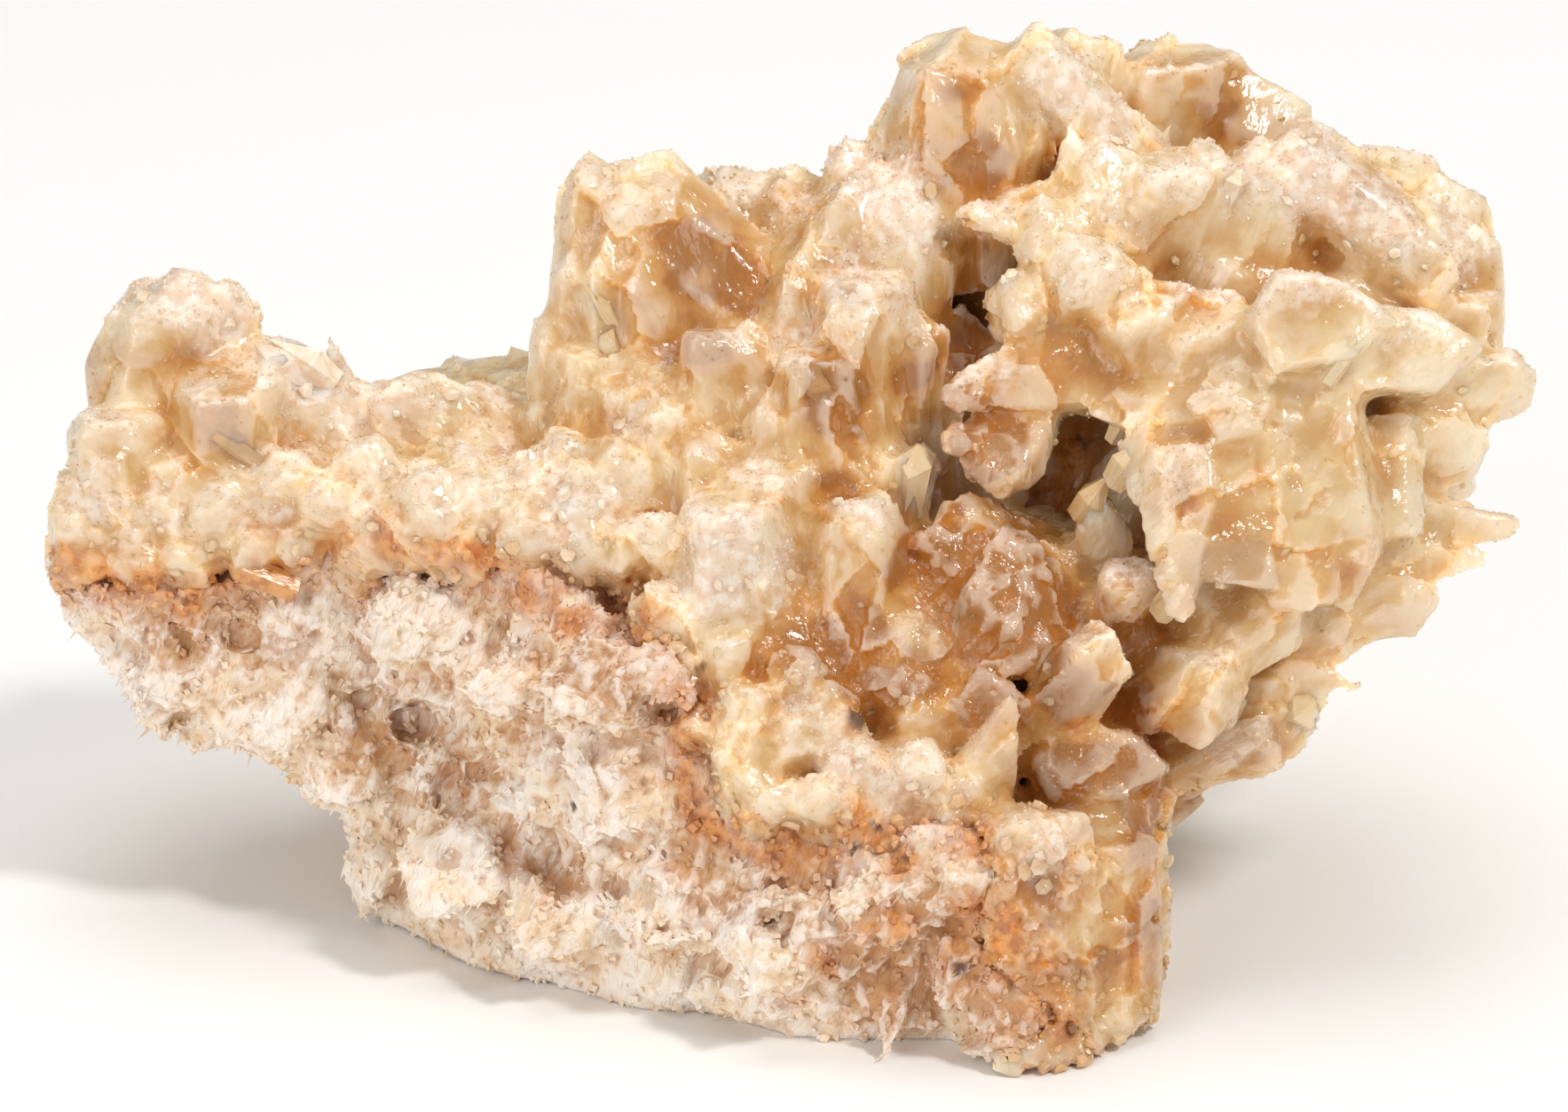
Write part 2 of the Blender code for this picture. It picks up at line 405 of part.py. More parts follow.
def make_crust(chance):
    """Lumps of crust, each a rough ball with flat facets, that fill the inside of the cluster."""
    solids = []
    for number, (middle, half) in enumerate(CRUST_LUMPS):
        points = []
        for level, count in ((-0.92, 4), (-0.45, 6), (0.1, 7), (0.58, 6), (0.95, 3)):
            ring = math.sqrt(1 - level * level)
            for k in range(count):
                angle = 2 * math.pi * (k + level) / count
                scale = 1 + 0.08 * chance.uniform(-1, 1)
                points.append(Vector((
                    middle[0] + half[0] * ring * math.cos(angle) * scale,
                    middle[1] + half[1] * ring * math.sin(angle) * scale,
                    middle[2] + half[2] * level * scale,
                )))
        label = "crust %d" % number
        solids.append(add_solid(label, hull_mesh(label, points)))
    return solids


def druse_rows():
    """Small stubby crystals in rows along the crust, tips outwards and up, as crystal rows."""
    chance = random.Random(CRYSTAL_SEED + 1)
    rows = []
    for first, last, count, half_width in DRUSE_ROWS:
        for k in range(count):
            share = k / max(count - 1, 1)
            middle = [a + (b - a) * share + chance.uniform(-0.5, 0.5) for a, b in zip(first, last)]
            width = half_width * chance.uniform(0.8, 1.25)
            lean = chance.uniform(-1.3, 1.3)
            foot = (middle[0] - lean, middle[1] - 1.6, middle[2] + 3.4)
            lift, stand_out = chance.uniform(0.4, 1.8), chance.uniform(0.6, 1.8)
            tip = (middle[0] + lean, middle[1] + lift, middle[2] - stand_out)
            form = chance.choice(("block", "stub", "block"))
            rows.append((form, foot, tip, width, chance.uniform(0.75, 1.0), chance.uniform(0, 60)))
    return rows


def line_height(line, across):
    """Read a line of (across, rise) points at one place."""
    if across <= line[0][0]:
        return line[0][1]
    for (a, low), (b, high) in zip(line, line[1:]):
        if across <= b:
            return low + (high - low) * (across - a) / (b - a)
    return line[-1][1]


def covered(place, own_number):
    """Whether a place on one crust lump lies inside another one."""
    for number, (middle, half) in enumerate(CRUST_LUMPS):
        if number != own_number:
            reach = sum(((p - m) / h) ** 2 for p, m, h in zip(place, middle, half))
            if reach < 0.95:
                return True
    return False


def hidden_rows():
    """Crystals of the back, top and underside: on the crust lumps, tips outwards."""
    chance = random.Random(CRYSTAL_SEED + 2)
    golden = math.pi * (3 - math.sqrt(5))
    view = Vector((0.0, math.cos(FRONT_VIEW_TILT), -math.sin(FRONT_VIEW_TILT)))
    rows = []
    for number, (middle, half) in enumerate(CRUST_LUMPS):
        for k in range(HIDDEN_PLACES_PER_LUMP):
            level = 1 - 2 * (k + 0.5) / HIDDEN_PLACES_PER_LUMP
            ring = math.sqrt(1 - level * level)
            direction = Vector((ring * math.cos(golden * k), ring * math.sin(golden * k), level))
            place = Vector([m + h * d for m, h, d in zip(middle, half, direction)])
            outward = Vector([d / h for d, h in zip(direction, half)]).normalized()
            outward += Vector([chance.uniform(-0.35, 0.35) for _ in range(3)])
            outward.normalize()
            stand_out = chance.uniform(*HIDDEN_STAND_OUT)
            width = chance.uniform(*HIDDEN_HALF_WIDTH)
            form = chance.choice(("tooth", "block", "dome", "block", "slab"))
            thickness, turn = chance.uniform(0.7, 1.0), chance.uniform(0, 60)
            tip = place + outward * stand_out
            rise = to_view(tip)[1]
            if outward.dot(view) < FRONT_FACING:
                continue
            if covered(place, number) or (place.z < MATRIX_TOP and place.x < MATRIX_END):
                continue
            if rise + 0.3 * width > line_height(SKYLINE, tip.x):
                continue
            if rise - 0.3 * width < line_height(UNDERLINE, tip.x):
                continue
            rows.append((form, to_view(place - outward * HIDDEN_ROOT), to_view(tip), width, thickness, turn))
    return rows


def face_place(x, share):
    """The place (y, z) on the broken face at x, a share of the way down from seam to front foot."""
    for (a, seam_a, foot_a, *_), (b, seam_b, foot_b, *_) in zip(MATRIX_STATIONS, MATRIX_STATIONS[1:]):
        if x <= b:
            part = (x - a) / (b - a)
            break
    seam = Vector(seam_a).lerp(Vector(seam_b), part)
    foot = Vector(foot_a).lerp(Vector(foot_b), part)
    return seam.lerp(foot, share)


def ledge_rows():
    """Small ledges and crumbs spread over the broken face."""
    chance = random.Random(MATRIX_SEED + 2)
    golden = (math.sqrt(5) - 1) / 2
    rows = []
    for k in range(FACE_LEDGES):
        x = FACE_SPAN[0] + (FACE_SPAN[1] - FACE_SPAN[0]) * (k + chance.random()) / FACE_LEDGES
        share = FACE_DOWN[0] + (FACE_DOWN[1] - FACE_DOWN[0]) * ((k * golden) % 1.0)
        y, z = face_place(x, share)
        stand_out, lift = chance.uniform(*LEDGE_STAND_OUT), chance.uniform(-1.2, 0.8)
        foot = Vector((x, y + LEDGE_ROOT, z))
        tip = Vector((x + chance.uniform(-1.2, 0.6), y - stand_out, z + lift))
        form = chance.choice(("slab", "block", "spike", "dome", "slab"))
        width, thickness = chance.uniform(*LEDGE_HALF_WIDTH), chance.uniform(*LEDGE_THICKNESS)
        rows.append((form, to_view(foot), to_view(tip), width, thickness, chance.uniform(0, 60)))
    return rows


def wall_rows():
    """Lumps and ledges of the broken back wall and end of the matrix."""
    chance = random.Random(MATRIX_SEED + 1)
    rows = []
    for k in range(WALL_LUMPS):
        x = WALL_SPAN[0] + (WALL_SPAN[1] - WALL_SPAN[0]) * (k + 0.5) / WALL_LUMPS
        low = line_height(WALL_FOOT, x)
        z = low + (WALL_TOP - low) * ((k * 0.38) % 1.0) + 1.5
        y = line_height(WALL_DEPTH, x) + 0.12 * z * min(1.0, (x + 48.0) / 26.0)
        foot = Vector((x, y - 6.0, z))
        lean, stand_out, lift = chance.uniform(-1.5, 1.5), chance.uniform(0.6, 2.0), chance.uniform(-1, 1)
        tip = Vector((x + lean, y + stand_out, z + lift))
        form = chance.choice(("slab", "stub", "block"))
        width, thickness = chance.uniform(3.6, 6.0), chance.uniform(0.45, 0.8)
        rows.append((form, to_view(foot), to_view(tip), width, thickness, 0))
    return rows


def matrix_section(station, chance):
    """Points of the broken matrix at one place along X, from the seam down the face and round."""
    x, seam, foot, back_foot, back_top, swell = station
    seam, foot = Vector(seam), Vector(foot)
    back_foot, back_top = Vector(back_foot), Vector(back_top)
    points = [seam]
    for share in (0.22, 0.45, 0.66, 0.86):
        point = seam.lerp(foot, share)
        point.x -= swell * math.sin(math.pi * share) + chance.uniform(-FACE_ROUGHNESS, FACE_ROUGHNESS)
        points.append(point)
    points.append(foot)
    roughness = min(1.0, (back_top.y - back_foot.y) / FULL_HEIGHT)
    for share in (0.3, 0.62, 0.84):
        point = foot.lerp(back_foot, share)
        rough = roughness * chance.uniform(*UNDERSIDE_ROUGHNESS)
        if not (FLAT_SPOT[0] <= x <= FLAT_SPOT[1] and share < FLAT_SPOT_REACH):
            point.y += rough
        points.append(point)
    points.append(back_foot + Vector((0.0, roughness * chance.uniform(*UNDERSIDE_ROUGHNESS))))
    for share in (0.3, 0.65):
        point = back_foot.lerp(back_top, share)
        point.x += roughness * chance.uniform(*WALL_ROUGHNESS)
        points.append(point)
    points.append(back_top)
    points.append(back_top.lerp(seam, 0.5))
    return [Vector((x, point.x, point.y)) for point in points]


def loft_mesh(name, sections, grow):
    """Skin sections that have equal numbers of points, with closed ends, and swell the skin."""
    shape = bmesh.new()
    rings = [[shape.verts.new(point * MM) for point in section] for section in sections]
    for ring, following in zip(rings, rings[1:]):
        for k in range(len(ring)):
            j = (k + 1) % len(ring)
            shape.faces.new((ring[k], ring[j], following[j], following[k]))
    shape.faces.new(rings[0][::-1])
    shape.faces.new(rings[-1])
    bmesh.ops.recalc_face_normals(shape, faces=shape.faces)
    bmesh.ops.triangulate(shape, faces=shape.faces)
    shape.normal_update()
    moves = [(vertex, vertex.normal * (vertex.calc_shell_factor() * grow * MM)) for vertex in shape.verts]
    for vertex, move in moves:
        vertex.co += move
    mesh = bpy.data.meshes.new(name)
    shape.to_mesh(mesh)
    shape.free()
    return mesh


def combine(name, solids, operation="UNION", tool=None):
    """Join solids in one closed body, or cut one with a tool, and return the new object."""
    base = solids[0]
    group = bpy.data.collections.new(name + " pieces")
    for solid in (solids[1:] if tool is None else [tool]):
        group.objects.link(solid)
    boolean = base.modifiers.new("combine", "BOOLEAN")
    boolean.operation = operation
    boolean.operand_type = "COLLECTION"
    boolean.collection = group
    boolean.solver = "EXACT"
    bpy.context.view_layer.update()
    evaluated = base.evaluated_get(bpy.context.evaluated_depsgraph_get())
    mesh = bpy.data.meshes.new_from_object(evaluated)
    mesh.name = name
    for solid in solids + ([tool] if tool else []):
        bpy.data.objects.remove(solid)
    bpy.data.collections.remove(group)
    return add_solid(name, mesh)


def swollen(points, grow):
    """Points of a convex form swelled on every side."""
    if grow == 0:
        return points
    corners = [Vector((x, y, z)) for x in (-grow, grow) for y in (-grow, grow) for z in (-grow, grow)]
    return [point + corner for point in points for corner in corners]


def make_matrix(name, grow):
    """The broken vein calcite; grow swells it all round, for the hollow it leaves in the cluster."""
    chance = random.Random(MATRIX_SEED)
    sections = [matrix_section(station, chance) for station in MATRIX_STATIONS]
    pieces = [add_solid(name, loft_mesh(name, sections, grow))]
    for number, row in enumerate(list(MATRIX_RELIEF) + wall_rows() + ledge_rows()):
        label = "%s relief %d" % (name, number)
        points = swollen(crystal_points(row, chance, BROKEN_WOBBLE), grow)
        pieces.append(add_solid(label, hull_mesh(label, points)))
    return combine(name, pieces)


def cut_pits(solid):
    """Cut the pits of the broken face out of the matrix."""
    chance = random.Random(MATRIX_SEED + 3)
    for number, row in enumerate(MATRIX_PITS):
        label = "pit %d" % number
        pit = add_solid(label, hull_mesh(label, crystal_points(row, chance, BROKEN_WOBBLE)))
        solid = combine(solid.name, [solid], "DIFFERENCE", pit)
    return solid


def keep_above(solid, height):
    """Cut off what would reach below a height in millimetres."""
    deep, wide = 40.0, 80.0
    corners = [(x, y, z) for x in (-wide, wide) for y in (-wide, wide) for z in (height - deep, height)]
    ground = add_solid("ground", hull_mesh("ground", [Vector(corner) for corner in corners]))
    return combine(solid.name, [solid], "DIFFERENCE", ground)


def bodies_of(shape):
    """The vertices of each connected body of a mesh, the largest body first."""
    waiting = set(shape.verts)
    bodies = []
    while waiting:
        body = {waiting.pop()}
        edge_of_search = list(body)
        while edge_of_search:
            vertex = edge_of_search.pop()
            for edge in vertex.link_edges:
                other = edge.other_vert(vertex)
                if other not in body:
                    body.add(other)
                    edge_of_search.append(other)
        waiting -= body
        bodies.append(body)
    return sorted(bodies, key=len, reverse=True)


def tidy_mesh(solid, triangles):
    """Drop crumbs that the cut left loose, weld points that almost meet and thin out flat areas."""
    shape = bmesh.new()
    shape.from_mesh(solid.data)
    bmesh.ops.remove_doubles(shape, verts=shape.verts, dist=WELD * MM)
    for crumb in bodies_of(shape)[1:]:
        bmesh.ops.delete(shape, geom=list(crumb), context="VERTS")
    bmesh.ops.triangulate(shape, faces=shape.faces)
    found = len(shape.faces)
    shape.to_mesh(solid.data)
    shape.free()
    thin = solid.modifiers.new("thin out flat areas", "DECIMATE")
    thin.ratio = min(1.0, triangles / found)
    thin.use_collapse_triangulate = True
    bpy.context.view_layer.update()
    evaluated = solid.evaluated_get(bpy.context.evaluated_depsgraph_get())
    thinned = bpy.data.meshes.new_from_object(evaluated)
    solid.modifiers.remove(thin)
    solid.data = thinned


def add_material(solid, colour, roughness):
    material = bpy.data.materials.new(solid.name)
    material.use_nodes = True
    surface = material.node_tree.nodes["Principled BSDF"]
    surface.inputs["Base Color"].default_value = (*colour, 1.0)
    surface.inputs["Roughness"].default_value = roughness
    surface.inputs["Metallic"].default_value = 0.0
    solid.data.materials.clear()
    solid.data.materials.append(material)


def centre_over_origin(solids):
    """Move the specimen so that the middle of its box stands over the origin."""
    corners = [vertex.co for solid in solids for vertex in solid.data.vertices]
    low = [min(corner[k] for corner in corners) for k in range(3)]
    high = [max(corner[k] for corner in corners) for k in range(3)]
    shift = Vector((-(low[0] + high[0]) / 2, -(low[1] + high[1]) / 2, -low[2]))
    for solid in solids:
        solid.data.transform(Matrix.Translation(shift))


def main():
    for item in list(bpy.data.objects):
        bpy.data.objects.remove(item)
    chance = random.Random(CRYSTAL_SEED)
    pieces = make_crust(random.Random(LUMP_SEED))
    for name, rows in (
        ("left end", LEFT_END),
        ("fluted column", FLUTED_COLUMNS),
        ("frosted tower", FROSTED_TOWER),
        ("top", TOP_CRYSTALS),
        ("front shelf", FRONT_SHELF),
        ("right plate", RIGHT_PLATES),
        ("lower right", LOWER_RIGHT),
        ("centre", CENTRE),
        ("druse", druse_rows()),
        ("hidden side", hidden_rows()),
    ):
        pieces += make_crystals(name, rows, chance)
    cluster = combine("crystal_cluster", pieces)
    hollow = make_matrix("hollow", GAP)
    cluster = combine("crystal_cluster", [cluster], "DIFFERENCE", hollow)
    matrix = cut_pits(make_matrix("matrix", 0.0))
    matrix = keep_above(matrix, 0.0)
    cluster = keep_above(cluster, CLUSTER_CLEARANCE)
    tidy_mesh(cluster, CLUSTER_TRIANGLES)
    tidy_mesh(matrix, MATRIX_TRIANGLES)
    cluster.name = "crystal_cluster"
    matrix.name = "matrix"
    add_material(cluster, (0.78, 0.60, 0.38), 0.35)
    add_material(matrix, (0.80, 0.72, 0.64), 0.65)
    centre_over_origin([cluster, matrix])


main()
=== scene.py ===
# %% [markdown]
# # Dogtooth calcite on white vein calcite
#
# The real object is one hand specimen that grew in a crack in rock. White sugary calcite, the matrix,
# filled the crack first. Honey and cream crystals then grew into the space that was left, and a last
# crust of fine white calcite frosted their tops. Iron stained the contact between the two orange.
#
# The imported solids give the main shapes. Each is made here again as a fine skin: a copy is turned
# into a close net of points, and the points are moved by rules that stand for cleavage steps, worn
# edges and crusts. Small crystals, sugar grains and fibres are then set on that skin.
# Everything is worked out in millimetres, in arrays of a quarter of a million points, and turned into
# metres when a mesh is made.

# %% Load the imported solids
import itertools
import math

import bpy
import numpy as np
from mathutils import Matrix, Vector
from mathutils.bvhtree import BVHTree


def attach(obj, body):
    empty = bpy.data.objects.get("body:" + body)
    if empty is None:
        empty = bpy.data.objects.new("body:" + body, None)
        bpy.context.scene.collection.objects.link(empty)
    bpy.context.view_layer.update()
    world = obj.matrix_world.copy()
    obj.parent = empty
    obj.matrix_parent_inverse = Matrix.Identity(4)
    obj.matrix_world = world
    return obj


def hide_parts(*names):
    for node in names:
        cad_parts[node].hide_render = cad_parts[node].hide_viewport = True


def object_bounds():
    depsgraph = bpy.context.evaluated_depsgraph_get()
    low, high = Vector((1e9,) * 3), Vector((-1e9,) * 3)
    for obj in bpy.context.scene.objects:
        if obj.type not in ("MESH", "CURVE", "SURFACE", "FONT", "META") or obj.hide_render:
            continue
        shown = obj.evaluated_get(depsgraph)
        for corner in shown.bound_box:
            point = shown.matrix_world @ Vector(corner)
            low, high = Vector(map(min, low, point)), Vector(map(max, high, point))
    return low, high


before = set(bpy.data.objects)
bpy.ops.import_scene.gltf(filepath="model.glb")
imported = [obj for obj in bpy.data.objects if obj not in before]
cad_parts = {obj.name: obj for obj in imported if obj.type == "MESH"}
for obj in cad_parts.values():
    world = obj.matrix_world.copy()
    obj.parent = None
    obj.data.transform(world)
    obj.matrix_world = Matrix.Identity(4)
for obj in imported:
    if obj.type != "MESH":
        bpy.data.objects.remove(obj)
cad_low, cad_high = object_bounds()
scene = bpy.context.scene
LOW, HIGH = np.array(cad_low) * 1000, np.array(cad_high) * 1000
print("solids:", sorted(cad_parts), "box in mm:", (HIGH - LOW).round(1))

# %% [markdown]
# ## The front view
#
# Stains, frosting and clear crystals sit in places that are easiest to tell in the front view, which
# looks down on the specimen by 25 degrees. A place there is given in picture dots, 16 to a
# millimetre, and a straight line into the picture finds the point of the solid that shows there.
# What is put there then sits on the solid, seen from any side.

# %% From a place in the front view to a point of the solid
TILT = math.radians(25.0)
DOTS_PER_MM = 16.0
MIDDLE_DOTS = np.array((883.5, 626.5))
MIDDLE_MM = np.array((-0.375, -0.539, 24.33 / math.cos(TILT)))
VIEW = np.array((0.0, math.cos(TILT), -math.sin(TILT)))
UP = np.array((0.0, math.sin(TILT), math.cos(TILT)))
ACROSS = np.array((1.0, 0.0, 0.0))
IN_FRONT = 90.0


def tree_of(mesh):
    points = [vertex.co * 1000 for vertex in mesh.vertices]
    return BVHTree.FromPolygons(points, [face.vertices for face in mesh.polygons])


trees = {name: tree_of(node.data) for name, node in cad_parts.items()}


def seen_at(dots):
    """The point in millimetres of either solid that shows at a place of the front view."""
    across, down = (np.array(dots, float) - MIDDLE_DOTS) / DOTS_PER_MM
    beside = MIDDLE_MM + ACROSS * across - UP * down
    start = Vector(beside - VIEW * IN_FRONT)
    found = None
    for name, tree in trees.items():
        point, _, _, distance = tree.ray_cast(start, Vector(VIEW))
        if point is not None and (found is None or distance < found[0]):
            found = (distance, np.array(point))
    return beside if found is None else found[1]


print("the middle of the view shows", seen_at(MIDDLE_DOTS).round(1))

# %% [markdown]
# ## Chance that can be repeated
#
# Natural surfaces need uneven numbers at every point of space: soft ones, like hills, and cells, like
# a wall of rough stones. Both are read from tables of random numbers with a fixed seed, so the script
# makes the same specimen every time.

# %% Soft noise and cells
ROWS = 65536
TABLE = np.random.default_rng(7).random((ROWS, 3))


def pick(cell, seed):
    """Three random numbers for each whole-number place in space."""
    x, y, z = cell[:, 0], cell[:, 1], cell[:, 2]
    return TABLE[((x * 73856093) ^ (y * 19349663) ^ (z * 83492791) ^ (seed * 2654435761)) & (ROWS - 1)]


def blend(cell, part, value_at):
    """The values at the eight corners of each cell, mixed by how near they are."""
    total = np.zeros(len(cell))
    for corner in itertools.product((0, 1), repeat=3):
        weight = np.prod(np.where(np.array(corner) == 1, part, 1 - part), axis=1)
        total += weight * value_at(cell + np.array(corner))
    return total


def noise(points, size, seed=0):
    """Soft hills from -1 to 1, about as wide as size in millimetres."""
    place = points / size + 100.0
    cell = np.floor(place).astype(np.int64)
    part = place - cell
    part = part * part * (3 - 2 * part)
    return blend(cell, part, lambda corners: pick(corners, seed)[:, 0]) * 2 - 1


def swirl(points, size, seed):
    """Soft noise in each of the three directions."""
    return np.stack([noise(points, size, seed + k) for k in range(3)], 1)


def unit(directions):
    return directions / np.linalg.norm(directions, axis=1)[:, None]


def cells(points, size, seed=0):
    """The nearest middle of a rough wall of cells, and three random numbers for it."""
    place = points / size + 100.0
    home = np.floor(place).astype(np.int64)
    nearest = np.full(len(points), 99.0)
    middle = np.zeros_like(place)
    numbers = np.zeros_like(place)
    for step in itertools.product((-1, 0, 1), repeat=3):
        cell = home + np.array(step)
        candidate = cell + pick(cell, seed)
        distance = ((place - candidate) ** 2).sum(1)
        closer = distance < nearest
        nearest[closer] = distance[closer]
        middle[closer] = candidate[closer]
        numbers[closer] = pick(cell[closer], seed + 11)
    return (middle - 100.0) * size, numbers


def ramp(value, low, high):
    """0 under low, 1 over high, with a soft change between."""
    share = np.clip((value - low) / (high - low), 0, 1)
    return share * share * (3 - 2 * share)


print("noise at the middle:", noise(MIDDLE_MM[None], 5.0).round(3))

# %% [markdown]
# ## Where the specimen is hollow and where it stands out
#
# In the hollows the crystals are painted deep orange, a painted glow and shade for light that has come
# a long way through them. They are white where the frosting could settle, on the parts that stand out.
# Both come from one measure: how much of the space round a point is stone. It is half on a flat face,
# more in a hollow, less on a ridge.
# Stone is found column by column on a grid, and the grid is blurred by as much as the measure's reach.

# %% A grid of stone, blurred
STEP, MARGIN = 0.8, 12.0
grid_low = LOW - MARGIN
grid_shape = np.ceil((HIGH + MARGIN - grid_low) / STEP).astype(int)


def stone_grid():
    grid = np.zeros(grid_shape)
    heights = grid_low[2] + STEP * (np.arange(grid_shape[2]) + 0.5)
    for tree in trees.values():
        for i, j in np.ndindex(*grid_shape[:2]):
            x, y = grid_low[:2] + STEP * (np.array((i, j)) + 0.5)
            z, inside = -1.0, False
            while True:
                point = tree.ray_cast(Vector((x, y, z)), Vector((0, 0, 1)))[0]
                if point is None:
                    break
                if inside:
                    grid[i, j, (heights > z) & (heights < point.z)] = 1.0
                z, inside = point.z + 1e-3, not inside
    return grid


stone = stone_grid()


def blurred(reach):
    """The grid of stone, blurred by a bell curve as wide as reach in millimetres."""
    shares = [np.fft.fftfreq(n, d=STEP) for n in stone.shape]
    square = sum(f ** 2 for f in np.meshgrid(*shares, indexing="ij"))
    return np.fft.ifftn(np.fft.fftn(stone) * np.exp(-2 * (math.pi * reach) ** 2 * square)).real


GRIDS = {reach: blurred(reach) for reach in (1.6, 3.2, 6.5)}


def stone_share(points, reach):
    """How much of the space round each point is stone, from 0 to 1."""
    grid = GRIDS[reach]
    place = (points - grid_low) / STEP - 0.5
    cell = np.clip(np.floor(place).astype(int), 0, np.array(grid.shape) - 2)
    part = np.clip(place - cell, 0, 1)
    return blend(cell, part, lambda corners: grid[tuple(corners.T)])


print("stone in cubic centimetres:", round(stone.sum() * STEP ** 3 / 1000, 1))

# %% [markdown]
# ## Meshes as arrays
#
# A mesh is kept as an array of points and an array of faces while it is worked on. Smoothing moves
# each point towards the middle of its neighbours, and the direction out of the surface at a point is
# the sum of its faces' directions.

# %% Work on points and faces
def read(rows, field, wide, kind=np.int64):
    numbers = np.zeros(len(rows) * wide, kind)
    rows.foreach_get(field, numbers)
    return numbers.reshape(-1, wide)


def read_mesh(mesh):
    """Points in millimetres, triangles and edges of a mesh."""
    mesh.calc_loop_triangles()
    points = read(mesh.vertices, "co", 3, np.float64) * 1000
    return points, read(mesh.loop_triangles, "vertices", 3), read(mesh.edges, "vertices", 2)


def out_of(points, triangles):
    """The direction out of the surface at each point."""
    a, b, c = (points[triangles[:, k]] for k in range(3))
    face = np.cross(b - a, c - a)
    total = np.zeros_like(points)
    for k in range(3):
        for axis in range(3):
            total[:, axis] += np.bincount(triangles[:, k], face[:, axis], len(points))
    return total / (np.linalg.norm(total, axis=1)[:, None] + 1e-12)


def smooth(points, edges, times, share=0.5):
    count = np.bincount(edges.ravel(), minlength=len(points))[:, None] + 1e-9
    for _ in range(times):
        total = np.zeros_like(points)
        for axis in range(3):
            total[:, axis] += np.bincount(edges[:, 0], points[edges[:, 1], axis], len(points))
            total[:, axis] += np.bincount(edges[:, 1], points[edges[:, 0], axis], len(points))
        points = points + share * (total / count - points)
    return points


INSET = 0.02


def write_points(mesh, points):
    """Put points back in a mesh, kept inside the box of the solids."""
    inside = np.clip(points, LOW + INSET, HIGH - INSET)
    mesh.vertices.foreach_set("co", (inside / 1000).ravel())
    mesh.update()


def placed(name, data):
    """A new object in the scene."""
    made = bpy.data.objects.new(name, data)
    scene.collection.objects.link(made)
    return made


def through(piece, kind, **settings):
    """The mesh that one modifier makes of a piece."""
    modifier = piece.modifiers.new("step", kind)
    for name, value in settings.items():
        setattr(modifier, name, value)
    bpy.context.view_layer.update()
    made = bpy.data.meshes.new_from_object(piece.evaluated_get(bpy.context.evaluated_depsgraph_get()))
    piece.modifiers.remove(modifier)
    piece.data = made
    return made


def fine_skin(node, name, net):
    """A copy of a solid as a close, even net of points, net millimetres apart."""
    piece = placed(name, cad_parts[node].data.copy())
    through(piece, "REMESH", mode="VOXEL", voxel_size=net / 1000, adaptivity=0.0)
    return piece


NET = 0.36
crystal_body = fine_skin("crystal_cluster", "crystal_body", NET)
matrix_body = fine_skin("matrix", "matrix_body", NET)
print("net points:", len(crystal_body.data.vertices), len(matrix_body.data.vertices))

# %% [markdown]
# ## Where things are on the specimen
#
# A spot is a soft ball of influence round a point of the surface: how wide it is in millimetres and
# how strong. Lists of spots say where the frosting is thick, where iron has stained, where crystals
# are clear, and where they are honey-deep, which in recesses is also painted shade. Between the spots,
# rules with stone_share and noise decide, so the back and the underside, which the front view doesn't
# show, are finished in the same way.

# %% Spots and lines of influence
def spots(points, rows):
    """The strongest influence of a list of spots (dot across, dot down, width, strength)."""
    total = np.zeros(len(points))
    for across, down, width, strength in rows:
        distance = ((points - seen_at((across, down))) ** 2).sum(1) / width ** 2
        total = np.maximum(total, strength * np.exp(-distance))
    return total


def along(points, dots, width):
    """Influence of a line through places of the front view, a soft tube of that width."""
    line = np.array([seen_at(place) for place in dots])
    total = np.zeros(len(points))
    for start, end in zip(line, line[1:]):
        run = end - start
        share = np.clip(((points - start) @ run) / (run @ run), 0, 1)
        distance = ((points - start - share[:, None] * run) ** 2).sum(1) / width ** 2
        total = np.maximum(total, np.exp(-distance))
    return total


SEAM = (
    (45, 650), (100, 648), (150, 662), (210, 672), (270, 652), (330, 637), (430, 612), (540, 622),
    (600, 650), (640, 680), (720, 705), (760, 760), (775, 860), (790, 925), (860, 950), (960, 942),
    (1060, 918), (1110, 960), (1130, 1040), (1200, 1155),
)
RUST_SPOTS = (
    (1060, 1070, 4, 0.4), (1130, 1090, 4, 0.4), (580, 650, 3.2, 0.8), (640, 690, 3.4, 0.8),
    (700, 700, 3.2, 0.8), (480, 620, 2.4, 0.6), (80, 632, 2.2, 0.8), (120, 660, 2.6, 0.9),
    (165, 652, 2, 1), (212, 680, 2.4, 1), (300, 640, 2.2, 0.7), (385, 608, 2.4, 0.8),
    (440, 605, 2.4, 0.9), (590, 668, 2.4, 0.9), (650, 662, 1.8, 1), (700, 652, 1.6, 0.9),
    (735, 690, 1.8, 0.8), (765, 760, 2.2, 0.6), (800, 800, 2.4, 0.7), (800, 930, 2.4, 0.9),
    (850, 935, 2.6, 1), (900, 950, 1.8, 0.7), (960, 925, 2.2, 1), (990, 945, 2, 1), (1015, 965, 2, 1),
    (1060, 930, 2.8, 1), (1105, 945, 2.4, 0.9), (1000, 1040, 2.4, 0.9), (930, 1085, 2, 0.8),
    (1080, 1080, 2.6, 0.9), (1130, 1055, 2, 0.9), (1160, 1110, 2, 0.8), (1195, 1150, 2, 0.8),
    (1095, 1015, 2.2, 0.8), (968, 806, 1.5, 1), (1215, 515, 3, 0.75), (1190, 560, 2.6, 0.6),
    (1055, 545, 2.2, 0.5), (1412, 538, 1, 0.7), (1212, 812, 1.4, 0.8), (70, 672, 2, 0.9),
    (1280, 1080, 2.6, 0.45),
)
